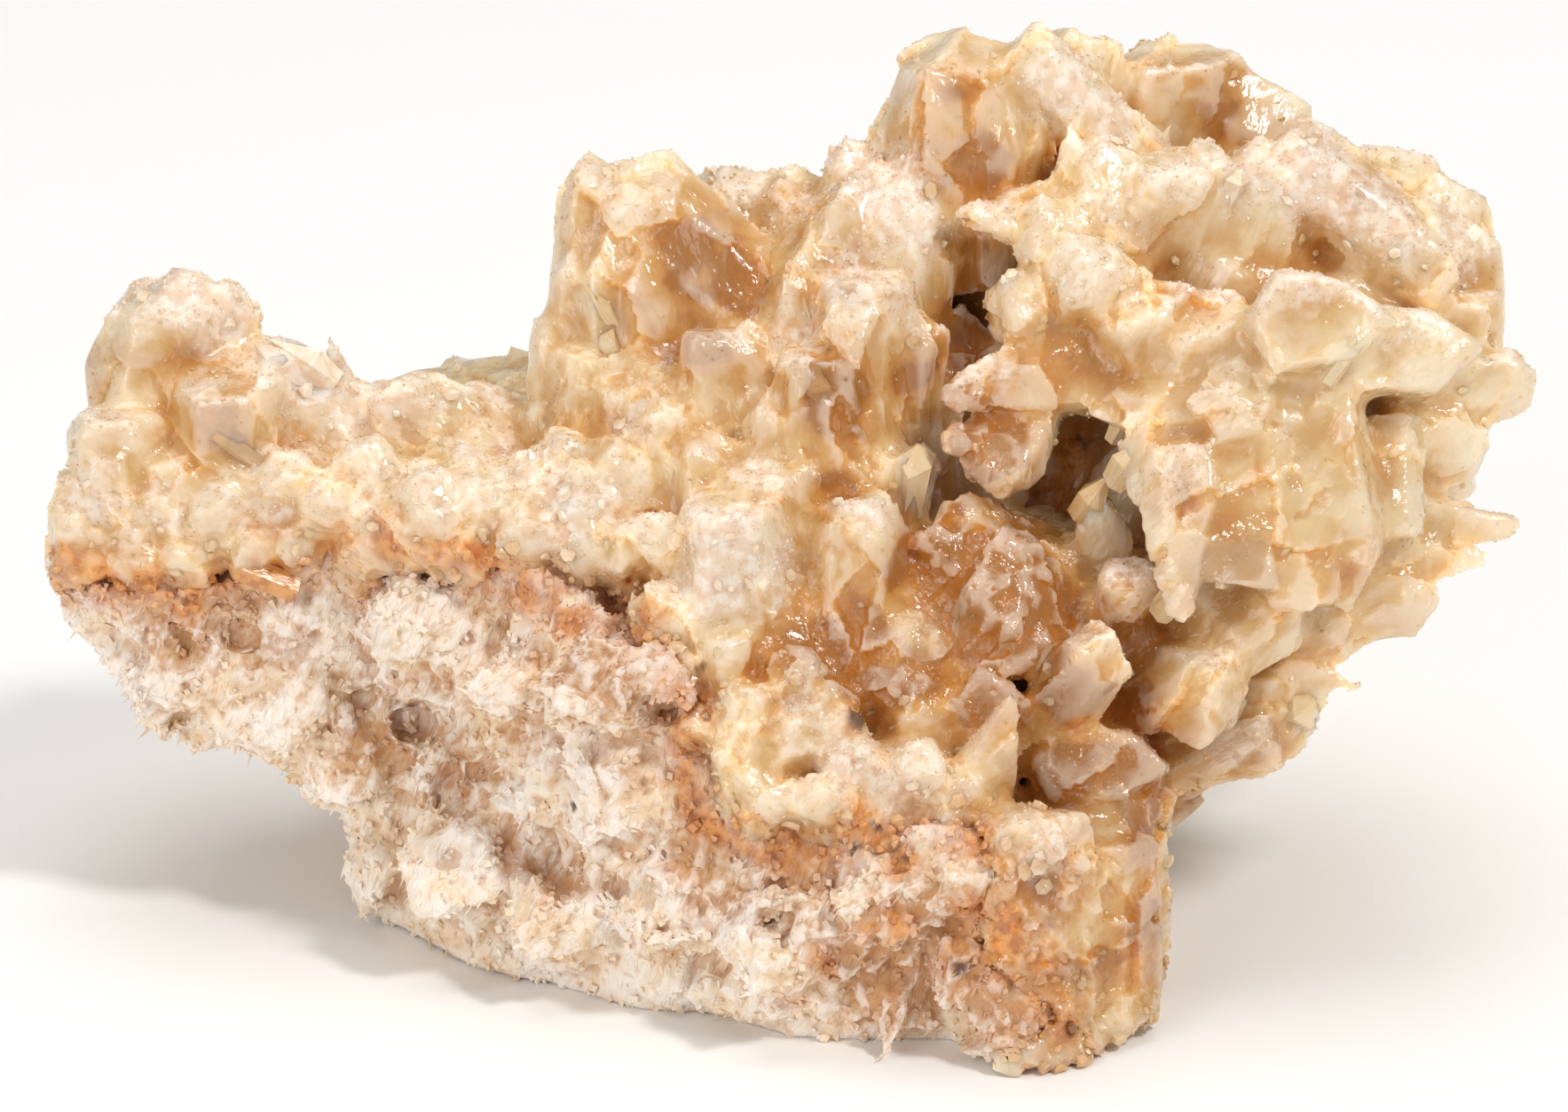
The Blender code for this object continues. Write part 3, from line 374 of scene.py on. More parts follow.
DARK_SPOTS = (
    (790, 745, 0.9, 1), (645, 905, 0.7, 1), (968, 806, 1.2, 1), (985, 925, 0.8, 1), (962, 948, 0.8, 0.9),
    (1016, 965, 0.8, 0.9), (865, 935, 0.8, 0.8), (120, 655, 0.9, 0.8), (210, 680, 0.9, 0.8),
    (655, 668, 0.8, 0.9), (710, 655, 0.7, 0.8), (1078, 1082, 1, 0.9), (1205, 1158, 0.8, 0.8),
    (1220, 500, 1.6, 0.7), (1050, 530, 1.6, 0.6), (1410, 538, 0.6, 0.8), (930, 1080, 0.7, 0.7),
    (1132, 1050, 0.8, 0.7),
)
FROST_SPOTS = (
    (210, 335, 3.2, 1), (255, 365, 2.6, 0.8), (330, 430, 3.4, 0.9), (375, 405, 2.4, 0.8),
    (400, 450, 3.4, 0.8), (450, 455, 3, 0.7), (235, 430, 2.2, 0.5), (560, 440, 2.2, 0.5),
    (100, 560, 3, 0.7), (180, 580, 4, 0.5), (300, 580, 4.5, 0.5), (420, 555, 4.5, 0.6),
    (540, 560, 4.5, 0.6), (640, 580, 4, 0.7), (600, 520, 3.4, 0.7), (820, 600, 3.2, 1), (800, 660, 3, 1),
    (870, 640, 3, 0.8), (995, 215, 3.6, 1), (960, 180, 2.6, 0.9), (1030, 260, 2.6, 0.8),
    (960, 300, 3, 0.6), (900, 380, 3.4, 0.45), (1020, 330, 3, 0.6), (840, 200, 3, 0.6),
    (900, 240, 3, 0.5), (1200, 90, 3.4, 0.8), (1260, 130, 3, 0.7), (1180, 60, 2.4, 0.5),
    (1410, 185, 3.4, 0.8), (1480, 205, 3.6, 1), (1560, 240, 3.6, 0.9), (1640, 270, 3.6, 0.7),
    (1330, 190, 3, 0.7), (1250, 240, 3, 0.5), (1220, 290, 4.2, 0.55), (1470, 320, 3.4, 0.5),
    (1570, 370, 3.2, 0.5), (950, 850, 3.4, 0.9), (1010, 880, 3.2, 0.9), (900, 800, 2.6, 0.6),
    (1180, 960, 3.8, 0.6), (1160, 1050, 3.4, 0.4), (1190, 1130, 3.4, 0.3), (985, 575, 1.6, 0.8),
    (860, 535, 1.8, 0.8), (720, 480, 3, 0.4), (690, 560, 3, 0.6),
)
# Honey spots: the crystals' own deep colour, and painted shade in the recesses where the light from above
# doesn't reach.
HONEY_AND_SHADE_SPOTS = (
    (215, 390, 4.2, 0.75), (150, 400, 3.6, 0.6), (250, 480, 4, 1.1), (130, 500, 3.6, 0.6),
    (540, 460, 3.4, 0.5), (660, 250, 4, 0.6), (650, 380, 5, 0.45), (780, 290, 5, 1.15),
    (830, 310, 4.4, 1.15), (760, 400, 3.4, 0.9), (720, 340, 3.4, 0.7), (1080, 110, 5, 0.75),
    (1100, 190, 4, 1.3), (1040, 170, 3.8, 1), (1380, 130, 4.6, 0.9), (1330, 80, 4, 0.6),
    (1450, 150, 3, 0.7), (1095, 290, 3, 1), (1340, 335, 3.6, 0.8), (1300, 270, 4, 0.5),
    (1545, 225, 3.6, 1), (1500, 240, 2.6, 0.8), (1670, 330, 4, 0.5), (1180, 540, 3.6, 1.3),
    (1230, 560, 3, 0.6), (1200, 830, 5, 0.6), (960, 620, 3.6, 0.55), (880, 560, 2.4, 0.6),
    (1280, 1040, 4.2, 1.2), (1290, 960, 3.4, 1.1), (1450, 360, 3.4, 0.5), (1480, 340, 2.6, 0.6),
    (800, 480, 3, 0.4), (60, 640, 2.4, 1), (950, 450, 4.8, 1.35), (1030, 420, 3.6, 1.1),
    (1110, 500, 4.2, 1.35), (1060, 620, 4.4, 1.4), (1240, 810, 6.6, 1.65), (1190, 880, 4.6, 1.3),
    (950, 750, 4.8, 1.4), (900, 700, 3.8, 1), (990, 800, 3.4, 0.9), (1390, 640, 5.4, 1.1),
    (1190, 400, 5, 0.75), (1250, 430, 4, 0.7), (670, 470, 4.4, 0.7), (720, 430, 3, 0.7),
    (800, 500, 3, 0.6), (1280, 720, 4, 1.3), (1400, 560, 4, 0.5), (1250, 1080, 3.6, 1),
    (1290, 1100, 3, 0.9), (200, 480, 3, 0.8), (1010, 640, 3.4, 1.1), (840, 330, 3.6, 1.1),
    (1120, 430, 3, 0.7), (1085, 360, 4, 1.4), (1100, 325, 3.4, 1.4), (1090, 410, 3.6, 1.2),
    (1070, 450, 3, 1.2), (1150, 590, 3.4, 1.3), (850, 760, 3, 0.9), (1040, 760, 4, 1.2),
    (1120, 780, 4.6, 1.3), (1180, 700, 4.6, 1.4), (1330, 560, 3, 0.9), (1520, 520, 6, 0.6),
    (1500, 640, 5, 0.7), (795, 380, 3.2, 1.2), (1390, 820, 5, 1.2), (1290, 870, 4, 1.5),
    (1385, 640, 5, 1.3), (965, 330, 5, 0.5), (1170, 1000, 5, 1.1), (1170, 1110, 5, 1.1),
    (1110, 660, 7, 1.9), (940, 740, 6, 1.3), (1200, 780, 4, 1.5), (1200, 1000, 4, 0.8),
    (150, 600, 4, 0.5), (300, 600, 4, 0.5), (500, 590, 4, 0.4), (620, 580, 4, 0.4),
    (1120, 500, 3.4, 1.6), (1290, 900, 4.4, 1.2), (1340, 900, 3.6, 1), (100, 420, 3, 0.8),
    (1250, 640, 3.6, 1.1), (900, 440, 4, 0.9), (940, 560, 3, 1), (1300, 850, 4, 1.2),
)
FILLED_SPOTS = ((650, 665, 2.4, 1), (690, 680, 2.4, 1), (730, 700, 2.4, 0.8))
CLEAR_SPOTS = (
    (1500, 400, 6, 0.7), (1420, 470, 5, 0.8), (1480, 560, 6, 0.9), (1340, 620, 5, 0.9),
    (1420, 640, 6, 0.8), (1600, 590, 6, 0.9), (1640, 430, 4, 0.7), (1560, 680, 5, 0.8),
    (1400, 800, 6, 0.9), (1340, 730, 5, 0.6), (1120, 510, 3.6, 0.6), (1200, 620, 4, 0.5),
    (1240, 450, 4, 0.6), (660, 420, 4, 0.5), (640, 300, 5, 0.5), (1040, 710, 3, 0.8),
    (930, 780, 2.4, 0.7), (1150, 400, 4, 0.4), (960, 400, 3, 0.5), (1260, 900, 4, 0.6),
)
PEACH_SPOTS = (
    (200, 770, 4, 0.9), (280, 740, 4, 0.8), (600, 820, 3, 0.6), (420, 830, 4, 0.9), (1000, 1080, 5, 1.2),
    (1120, 1090, 5, 1.3), (1060, 1030, 4, 1), (200, 730, 4, 0.9), (900, 960, 4, 0.8), (660, 740, 4, 0.7),
    (340, 720, 3, 0.6), (780, 960, 3, 0.7), (480, 800, 5, 0.5), (400, 800, 3.6, 0.8), (540, 860, 4, 0.7),
    (300, 700, 3, 0.4), (620, 760, 3, 0.4), (700, 860, 4, 0.35), (850, 1030, 4, 0.5),
    (720, 1010, 3, 0.4), (640, 1060, 3, 0.3), (900, 1100, 3, 0.5), (560, 700, 3.4, 0.6),
    (760, 800, 3, 0.7), (430, 590, 4, 0.7), (800, 880, 3.6, 0.6), (1080, 1060, 4, 0.8),
    (1150, 1100, 4, 0.9), (250, 700, 3, 0.5), (400, 810, 3, 1), (520, 870, 3, 0.9), (700, 780, 3.6, 0.7),
    (640, 820, 3, 0.5), (470, 770, 2.4, 0.8), (820, 1010, 3.4, 0.6), (900, 1040, 3, 0.6),
    (560, 930, 2.4, 0.5),
)
print("spots of frost and honey:", len(FROST_SPOTS), len(HONEY_AND_SHADE_SPOTS))

# %% [markdown]
# ## Frost, rust, honey
#
# Six numbers are worked out, 0 for none and about 1 for full: frost is the fine white crust, rust
# the iron stain, dark its black-brown heart, honey how deep the crystal's colour is together with
# painted glow and shade in hollows and recesses, clear how glassy it is, and peach the tan warmth of
# hollows in the matrix. They stay with the points as attributes, and the materials mix their colours by
# them.

# %% Work out the influences
def distance_to(points, name, most):
    """How far each point is from a solid, and most where it is farther."""
    near = (trees[name].find_nearest(Vector(point), most)[3] for point in points)
    return np.array([most if distance is None else distance for distance in near])


def near_other(points, name):
    """How near the other solid is: 1 at it, falling off over three millimetres."""
    return np.exp(-(distance_to(points, name, 8.0) / 2.6) ** 2)


def stained(points, contact, halo, width):
    """The iron stain of both solids: its spots, the seam, and a soft halo of that width along it."""
    blotch = ramp(noise(points, 3.0, 9) + 0.5 * noise(points, 1.0, 10), -0.45, 0.4)
    rust = spots(points, RUST_SPOTS) * ramp(noise(points, 1.3, 12), -0.9, 0.1)
    rust = np.maximum(rust, blotch * np.maximum(0.85 * along(points, SEAM, 1.7), 0.6 * contact))
    return np.maximum(rust, halo * along(points, SEAM, width) * ramp(noise(points, 2.0, 16), -0.9, 0.3))


def crystal_marks(points, out):
    hollow = ramp(stone_share(points, 3.2), 0.5, 0.72)
    deep = ramp(stone_share(points, 6.5), 0.55, 0.8)
    ridge = ramp(-stone_share(points, 1.6), -0.5, -0.25)
    patchy = noise(points, 7.0, 3) * 0.5 + noise(points, 2.2, 4) * 0.3
    frost = spots(points, FROST_SPOTS)
    up_facing = ramp(out[:, 2], 0.15, 0.95)
    frost = np.maximum(frost, 0.6 * up_facing * ramp(patchy + 0.5 * ridge - 0.5 * deep, 0.0, 0.6))
    frost = np.clip(frost + 0.22 * noise(points, 1.1, 5) * (frost > 0.05), 0, 1)
    honey = spots(points, HONEY_AND_SHADE_SPOTS)
    # Hollows: deeper honey, a painted glow and shade.
    honey = np.maximum(honey, 0.75 * hollow * ramp(patchy, -0.5, 0.4))
    honey = np.maximum(honey, 0.5 * ramp(noise(points, 14.0, 6), 0.1, 0.6))
    right_side = ramp(points[:, 0], 8.0, 14.0)
    clear = np.maximum(spots(points, CLEAR_SPOTS), 0.6 * right_side * ramp(noise(points, 9.0, 8), 0.25, 0.7))
    contact = near_other(points, "matrix")
    rust = stained(points, contact, 0.58, 3.6)
    rust = np.maximum(rust, 0.35 * deep * ramp(noise(points, 5.0, 13), 0.2, 0.6))
    dark = spots(points, DARK_SPOTS) * ramp(noise(points, 0.8, 14), -0.6, 0.1)
    dark = np.maximum(dark, 0.3 * contact * ramp(noise(points, 1.6, 15), 0.35, 0.6))
    frost = frost * (1 - 0.7 * rust) * (1 - 0.75 * ramp(honey, 0.7, 1.3))
    return {"frost": frost, "honey": honey, "clear": clear, "rust": rust, "dark": dark}


def matrix_marks(points, out):
    hollow = ramp(stone_share(points, 3.2), 0.52, 0.7)
    patchy = noise(points, 6.0, 23) * 0.6 + noise(points, 2.0, 24) * 0.3
    peach = np.maximum(spots(points, PEACH_SPOTS), 0.55 * hollow)
    peach = np.maximum(peach * ramp(patchy, -0.7, 0.2), 0.5 * ramp(patchy, 0.2, 0.8))
    contact = near_other(points, "crystal_cluster")
    rust = stained(points, contact, 0.62, 3.4)
    rust = np.maximum(rust, 0.4 * ramp(noise(points, 4.0, 26) - 0.02 * (points[:, 2] - 8), 0.4, 0.75))
    dark = spots(points, DARK_SPOTS) * ramp(noise(points, 0.8, 14), -0.6, 0.1)
    dark = np.maximum(dark, 0.4 * contact * ramp(noise(points, 1.6, 15), 0.4, 0.65))
    frost = 0.6 + 0.4 * ramp(patchy, -0.4, 0.4) - 0.5 * peach
    return {"frost": np.clip(frost, 0, 1), "peach": peach, "rust": rust, "dark": dark}


def keep_marks(mesh, marks):
    for name, values in marks.items():
        layer = mesh.attributes.new(name, "FLOAT", "POINT")
        layer.data.foreach_set("value", values.astype(np.float32))


print("marks ready")

# %% [markdown]
# ## The crystals' skin
#
# Crystals that grow together fill the creases between them. The solids meet in plain sharp creases, so
# these are raised first, and the edges are worn a little by smoothing. Calcite splits along flat
# planes, so even a worn crystal shows small flat steps. Each cell of a rough wall of cells gets a plane
# of its own, a little tilted, and the points in it are moved to that plane. The cells are drawn out
# along the direction of growth, which spreads from a root low in the matrix, so that tall crystals are
# fluted. Frosted parts get sugar-like bumps.

# %% The direction of growth
GROWTH_ROOT = np.array((8.0, 2.0, 0.0))
EVEN_REACH = 32.0


def growth(points):
    """The direction in which the crystals grew, away from a root low in the matrix."""
    away = points - GROWTH_ROOT
    return unit(away + 6.0 * swirl(points, 12.0, 70))


def drawn_out(points, factor):
    """Points moved so that what is read there is drawn out along the growth, by a factor."""
    away = points - GROWTH_ROOT
    reach = np.linalg.norm(away, axis=1)[:, None]
    return away / reach * (EVEN_REACH + (reach - EVEN_REACH) / factor)


print("growth at the top:", growth(np.array([[10.0, 10.0, 60.0]])).round(2))

# %% Shape the crystal skin
def cleaved(points, size, tilt, lift, seed):
    """How far to move each point out so that the surface breaks in small tilted planes."""
    middle, numbers = cells(points, size, seed)
    slope = (numbers - 0.5) * 2 * tilt
    return ((points - middle) * slope).sum(1) + lift * (numbers[:, 0] - 0.5)


CLOSE_FULL, CLOSE_NONE, CLOSE_BY = 0.7, 1.4, 0.6
FILL_BY, MOST_GROWN = 0.9, 1.2


def close_gap(points, other):
    """How far to grow towards the other solid, so that the grown joint shows no gap."""
    too_far = np.maximum(0.0, distance_to(points, other, CLOSE_NONE) - CLOSE_FULL)
    grow = CLOSE_BY * (1 - too_far / (CLOSE_NONE - CLOSE_FULL))
    return np.clip(grow + FILL_BY * spots(points, FILLED_SPOTS), 0, MOST_GROWN)


def fill_creases(points, triangles, edges, share):
    """Raise the creases where crystals meet towards a smoother skin, and leave what stands out."""
    out = out_of(points, triangles)
    wide = smooth(points, edges, 40)
    depth = ((wide - points) * out).sum(1)
    return points + out * (share * np.clip(depth - 0.05, 0, 2.5))[:, None]


def shape_crystals():
    points, triangles, edges = read_mesh(crystal_body.data)
    points = smooth(points, edges, 1, 0.3)
    for share in (0.8, 0.7):
        points = smooth(fill_creases(points, triangles, edges, share), edges, 1, 0.3)
    out = out_of(smooth(points, edges, 3), triangles)
    grow = close_gap(points, "matrix")
    frost = crystal_marks(points, out)["frost"]
    fluted = drawn_out(points, 3.2)
    rough = ramp(noise(points, 5.0, 30), -0.5, 0.5)
    step = cleaved(fluted, 3.6, 0.16, 0.1, 31) + rough * cleaved(fluted, 1.3, 0.24, 0.1, 32)
    worn = 0.03 * noise(fluted, 0.7, 34)
    sugar = 0.10 * noise(points, 0.8, 35) + 0.12 * np.abs(noise(points, 1.3, 36))
    move = step * (1 - 0.5 * frost) + worn + sugar * frost + grow
    return points + out * move[:, None]


write_points(crystal_body.data, shape_crystals())
print("crystal skin shaped")

# %% [markdown]
# ## The matrix's skin
#
# The broken vein calcite is a heap of ragged ledges. The cells are flattened, so that each makes a
# ledge, and they stand out by different amounts with a sharp step between. Fine noise stretched along
# the fibres, which run down and to the left in the real piece, roughens them.

# %% Shape the matrix skin
FIBRE = np.array((-0.35, -0.25, -0.9))
FIBRE /= np.linalg.norm(FIBRE)


def stretched(points, factor):
    """Points squeezed along the fibres, so that noise read there is stretched along them."""
    return points - np.outer(points @ FIBRE, FIBRE) * (1 - 1 / factor)


def shape_matrix():
    points, triangles, edges = read_mesh(matrix_body.data)
    points = smooth(fill_creases(points, triangles, edges, 0.75), edges, 4)
    out = out_of(points, triangles)
    grow = close_gap(points, "crystal_cluster")
    warped = points + 0.9 * swirl(points, 2.5, 40)
    flat = warped * np.array((1.0, 1.0, 1.7))
    ledge = cells(flat, 4.6, 43)[1]
    crumb = cells(stretched(warped, 2.0), 1.5, 44)[1]
    grit = cells(stretched(warped, 1.6), 0.8, 46)[1]
    ridge = 1 - np.abs(noise(stretched(warped, 1.8), 2.2, 49)) * 2
    move = 0.7 * (ledge[:, 0] - 0.6) + 0.5 * (crumb[:, 0] - 0.5) + 0.3 * (grit[:, 0] - 0.5)
    move += 0.35 * (ridge - 0.4) + 0.4 * noise(stretched(warped, 5.0), 0.8, 45)
    move -= 0.9 * ramp(noise(points, 5.5, 47) + 0.4 * noise(points, 2.0, 48), 0.0, 0.7)
    standing = ramp(points[:, 2], 0.4, 2.5)
    points = points + out * (move * standing + grow)[:, None]
    return smooth(points, edges, 1, 0.25)


write_points(matrix_body.data, shape_matrix())
print("matrix skin shaped")

# %% [markdown]
# ## Fewer faces where it is flat
#
# A part is easier to use when no piece is over 200,000 triangles, so flat areas are thinned out.
# The marks are worked out afterwards, on the points that are left, and with them how far each point
# lies in a dent, from which the materials paint shade into dents and a highlight onto edges that
# stand out. Edges sharper than an angle of their own for each skin are drawn as sharp edges.

# %% Thin out and keep the marks
MOST = 194000


def dent_depth_for_shade(points, edges, out):
    """How far each point lies in a dent: 0 on an edge that stands out, 0.5 on a flat face, 1 in a dent, for
    painted shade in dents and a painted highlight on edges.
    """
    near = smooth(points, edges, 6)
    wide = smooth(near, edges, 24)
    depth = ((near - points) * out).sum(1) / 0.22 + ((wide - points) * out).sum(1) / 0.9
    return np.clip(0.5 + 0.5 * depth, 0, 1)


def finish_skin(piece, marks_of, sharp):
    """Thin a skin out, give it its marks, and make edges over so many degrees sharp."""
    mesh = piece.data
    mesh.calc_loop_triangles()
    share = min(1.0, MOST / len(mesh.loop_triangles))
    mesh = through(piece, "DECIMATE", ratio=share, use_collapse_triangulate=True)
    points, triangles, edges = read_mesh(mesh)
    out = out_of(points, triangles)
    # The dent depth carries painted shade for dents and a painted highlight for edges that stand out.
    keep_marks(mesh, dict(marks_of(points, out), dent_shade_and_highlight=dent_depth_for_shade(points, edges, out)))
    mesh.shade_smooth()
    mesh.set_sharp_from_angle(angle=np.radians(sharp))
    return points, triangles


CRYSTAL_SKIN = finish_skin(crystal_body, crystal_marks, 26)
MATRIX_SKIN = finish_skin(matrix_body, matrix_marks, 40)
print("triangles:", len(CRYSTAL_SKIN[1]), len(MATRIX_SKIN[1]))

# %% [markdown]
# ## Many small crystals at once
#
# A small crystal is a few points round an axis. A template holds them with the axis along Z and a
# width and height of one, and every copy is the template stretched, turned and moved. Doing this for
# all copies in one array sum takes a second for thousands of crystals. Each copy keeps the marks of
# the place it grew on, so it takes that place's colour, and a number of its own, vary. A crust is one
# or two kinds of such crystals, scattered by a weight and sunk in the skin by a share of their height.

# %% Templates and the copying
def ring(count, radius, height, turn=0.0):
    angles = np.arange(count) * 2 * math.pi / count + turn
    return [(radius * math.cos(a), radius * math.sin(a), height) for a in angles]


def skin_rings(rings, count, tip):
    """Faces round stacked rings of points, closed below and with a tip or a flat top above."""
    faces = [tuple(range(count))[::-1]]
    for level in range(rings - 1):
        for k in range(count):
            a, b = level * count + k, level * count + (k + 1) % count
            faces.append((a, b, b + count, a + count))
    top = (rings - 1) * count
    if tip:
        faces += [(top + k, top + (k + 1) % count, rings * count) for k in range(count)]
    else:
        faces.append(tuple(range(top, top + count)))
    return faces


TEMPLATES = {
    "tooth": (ring(6, 0.8, 0.0) + ring(6, 1.0, 0.45, 0.1) + [(0.1, 0.0, 1.0)], skin_rings(2, 6, True)),
    "block": (
        ring(6, 0.95, 0.0) + ring(6, 1.0, 0.8, 0.05) + [(0.15, 0.1, 1.0)], skin_rings(2, 6, True),
    ),
    "grain": (ring(4, 1.0, 0.0) + ring(4, 0.85, 1.0, 0.35), skin_rings(2, 4, False)),
    "fibre": (ring(3, 1.0, 0.0) + ring(3, 0.8, 0.6, 0.2) + [(0.2, 0.0, 1.0)], skin_rings(2, 3, True)),
}


def sideways(axis):
    helper = np.where(np.abs(axis[:, 2:]) < 0.8, (0.0, 0.0, 1.0), (1.0, 0.0, 0.0))
    return unit(np.cross(axis, helper))


def copy_crystals(form, feet, axis, width, height, thick, chance):
    """Points and faces of many copies of a template."""
    template, faces = np.array(TEMPLATES[form][0]), TEMPLATES[form][1]
    axis = unit(axis)
    side = sideways(axis)
    front = np.cross(axis, side)
    spin = chance.uniform(0, 2 * math.pi, len(feet))[:, None]
    side, front = side * np.cos(spin) + front * np.sin(spin), front * np.cos(spin) - side * np.sin(spin)
    shaky = template[None] * chance.uniform(0.85, 1.15, (len(feet), len(template), 3))
    points = (
        feet[:, None]
        + side[:, None] * (shaky[:, :, 0] * width[:, None])[:, :, None]
        + front[:, None] * (shaky[:, :, 1] * (width * thick)[:, None])[:, :, None]
        + axis[:, None] * (shaky[:, :, 2] * height[:, None])[:, :, None]
    )
    return points, faces


def grow_piece(name, groups, marks_of):
    """One mesh of several groups of copies, with the marks of the places they grew on."""
    all_points, sizes, loops, marks = [], [], [], {}
    first = 0
    chance = np.random.default_rng(len(name))
    for points, faces, feet, out in groups:
        copies, corners = points.shape[:2]
        all_points.append(points.reshape(-1, 3))
        starts = first + corners * np.arange(copies)
        for face in faces:
            sizes.append(np.full(copies, len(face)))
            loops.append((starts[:, None] + np.array(face)[None]).ravel())
        for mark, values in dict(marks_of(feet, out), vary=chance.random(copies)).items():
            marks.setdefault(mark, []).append(np.repeat(values, corners))
        first += copies * corners
    mesh = bpy.data.meshes.new(name)
    points = np.concatenate(all_points)
    sizes, loops = np.concatenate(sizes), np.concatenate(loops)
    mesh.vertices.add(len(points))
    mesh.loops.add(len(loops))
    mesh.polygons.add(len(sizes))
    mesh.loops.foreach_set("vertex_index", loops)
    mesh.polygons.foreach_set("loop_start", np.concatenate([[0], np.cumsum(sizes)[:-1]]))
    write_points(mesh, points)
    mesh.update(calc_edges=True)
    keep_marks(mesh, {mark: np.concatenate(values) for mark, values in marks.items()})
    mesh.shade_flat()
    piece = placed(name, mesh)
    mesh.calc_loop_triangles()
    print(name, "triangles:", len(mesh.loop_triangles))
    return piece


TRIES = 6


def scatter(points, triangles, count, weight_of, chance):
    """Random places on a skin, more where the weight is high, and the directions out of it there."""
    a, b, c = (points[triangles[:, k]] for k in range(3))
    face = np.cross(b - a, c - a)
    area = np.linalg.norm(face, axis=1)
    chosen = chance.choice(len(triangles), count * TRIES, p=area / area.sum())
    u, v = chance.random((2, count * TRIES))
    flip = u + v > 1
    u, v = np.where(flip, 1 - u, u), np.where(flip, 1 - v, v)
    places = a[chosen] + (b - a)[chosen] * u[:, None] + (c - a)[chosen] * v[:, None]
    out = face[chosen] / area[chosen][:, None]
    weight = weight_of(places, out)
    keep = np.argsort(chance.random(len(weight)) / (weight + 1e-6))[:count]
    return places[keep], out[keep]


def leaning(out, amount, chance):
    return out + chance.normal(0, amount, out.shape)


FEWER = 1.0


def crust(name, seed, skin, marks_of, weight_of, count, forms, lean, sunk, thin):
    """A crust on a skin. Each row of forms is a template with its widths and heights."""
    chance = np.random.default_rng(seed)
    groups = []
    for form, width, height in forms:
        feet, out = scatter(*skin, int(count * FEWER), weight_of, chance)
        width, height = chance.uniform(*width, len(feet)), chance.uniform(*height, len(feet))
        points, faces = copy_crystals(
            form, feet - out * sunk * height[:, None], leaning(out, lean, chance), width, height,
            chance.uniform(thin, 1.0, len(feet)), chance,
        )
        groups.append((points, faces, feet, out))
    return grow_piece(name, groups, marks_of)


print("templates:", {name: len(faces) for name, (_, faces) in TEMPLATES.items()})

# %% [markdown]
# ## Overgrowth: crystals side by side
#
# A large crystal here is a bundle of smaller ones that grew side by side, away from the matrix, so its
# sides are fluted and its top is a crowd of flat tips. Each is set along the direction of growth and
# sunk in the skin by most of its width, so only its edges and its tip stand out.

# %% Grow the overgrowth
def overgrowth_weight(points, out):
    marks = crystal_marks(points, out)
    behind = 0.3 * ramp(points[:, 1], 3.0, 12.0)
    return (0.12 + behind + 0.6 * marks["clear"] + 0.3 * marks["honey"]) * (1 - 0.85 * marks["frost"])


def grow_overgrowth():
    chance = np.random.default_rng(100)
    groups = []
    for form, most, width, height in (
        ("block", 24, (1.0, 1.8), (3.0, 5.5)), ("tooth", 120, (0.7, 1.5), (2.6, 5.5)),
    ):
        count = int(most * FEWER)
        feet, out = scatter(*CRYSTAL_SKIN, count, overgrowth_weight, chance)
        width, height = chance.uniform(*width, count), chance.uniform(*height, count)
        axis = unit(leaning(growth(feet), 0.10, chance))
        facing = np.clip((axis * out).sum(1), 0, 1)[:, None]
        start = feet - axis * height[:, None] * (0.55 + 0.3 * facing)
        start = start - out * width[:, None] * 0.72 * (1 - facing)
        points, faces = copy_crystals(
            form, start, axis, width, height, chance.uniform(0.7, 1.0, count), chance,
        )
        groups.append((points, faces, feet, out))
    return grow_piece("overgrowth", groups, crystal_marks)


overgrowth = grow_overgrowth()

# %% [markdown]
# ## Druse: the crust of small crystals
#
# Pinkish white crystals of about a millimetre stand in a band over the rusty seam, in patches between
# the large crystals and on the rims of their flat ends. They stand out with a slight lean.

# %% Grow the druse
def druse_weight(points, out):
    marks = crystal_marks(points, out)
    band = ramp(near_other(points, "matrix"), 0.02, 0.4)
    hollow = ramp(stone_share(points, 3.2), 0.45, 0.65)
    behind = 0.07 * ramp(points[:, 1], 3.0, 12.0)
    return 0.01 + 0.4 * marks["frost"] ** 2 + 0.8 * band + 0.06 * hollow + behind


druse = crust(
    "druse", 101, CRYSTAL_SKIN, crystal_marks, druse_weight, 1400,
    (("tooth", (0.25, 0.6), (0.5, 0.9)), ("block", (0.25, 0.7), (0.4, 0.8))), 0.35, 0.45, 0.5,
)

# %% [markdown]
# ## Sugar: the white frosting
#
# The last calcite to grow is a white crust of grains under a millimetre, like sugar. It is thick on
# upper faces and rims. Each grain is a small leaning block.

# %% Sprinkle the sugar
def sugar_weight(points, out):
    return 0.01 + crystal_marks(points, out)["frost"] ** 2.5


sugar = crust(
    "sugar", 102, CRYSTAL_SKIN, crystal_marks, sugar_weight, 12500,
    (("grain", (0.07, 0.2), (0.12, 0.34)),), 0.5, 0.55, 0.6,
)

# %% [markdown]
# ## Fibres and crumbs of the matrix
#
# The broken matrix is white and fluffy because it ends in thousands of fine fibres and sugary crumbs.
# Fibres of one patch lie side by side, so their direction comes from soft noise, and they fan out
# from a dark spot in the middle of the face as the real ones do.

# %% Grow the fibres and crumbs
FAN = seen_at((645, 905))


def fibre_axis(points, out, chance):
    away = points - FAN
    reach = np.linalg.norm(away, axis=1)[:, None] + 1e-6
    fan = away / reach * np.exp(-(reach / 9.0) ** 2) * 2.0
    axis = FIBRE + 0.9 * swirl(points, 9.0, 60) + fan + chance.normal(0, 0.15, points.shape)
    axis -= out * (axis * out).sum(1)[:, None]
    return unit(axis) + 0.14 * out


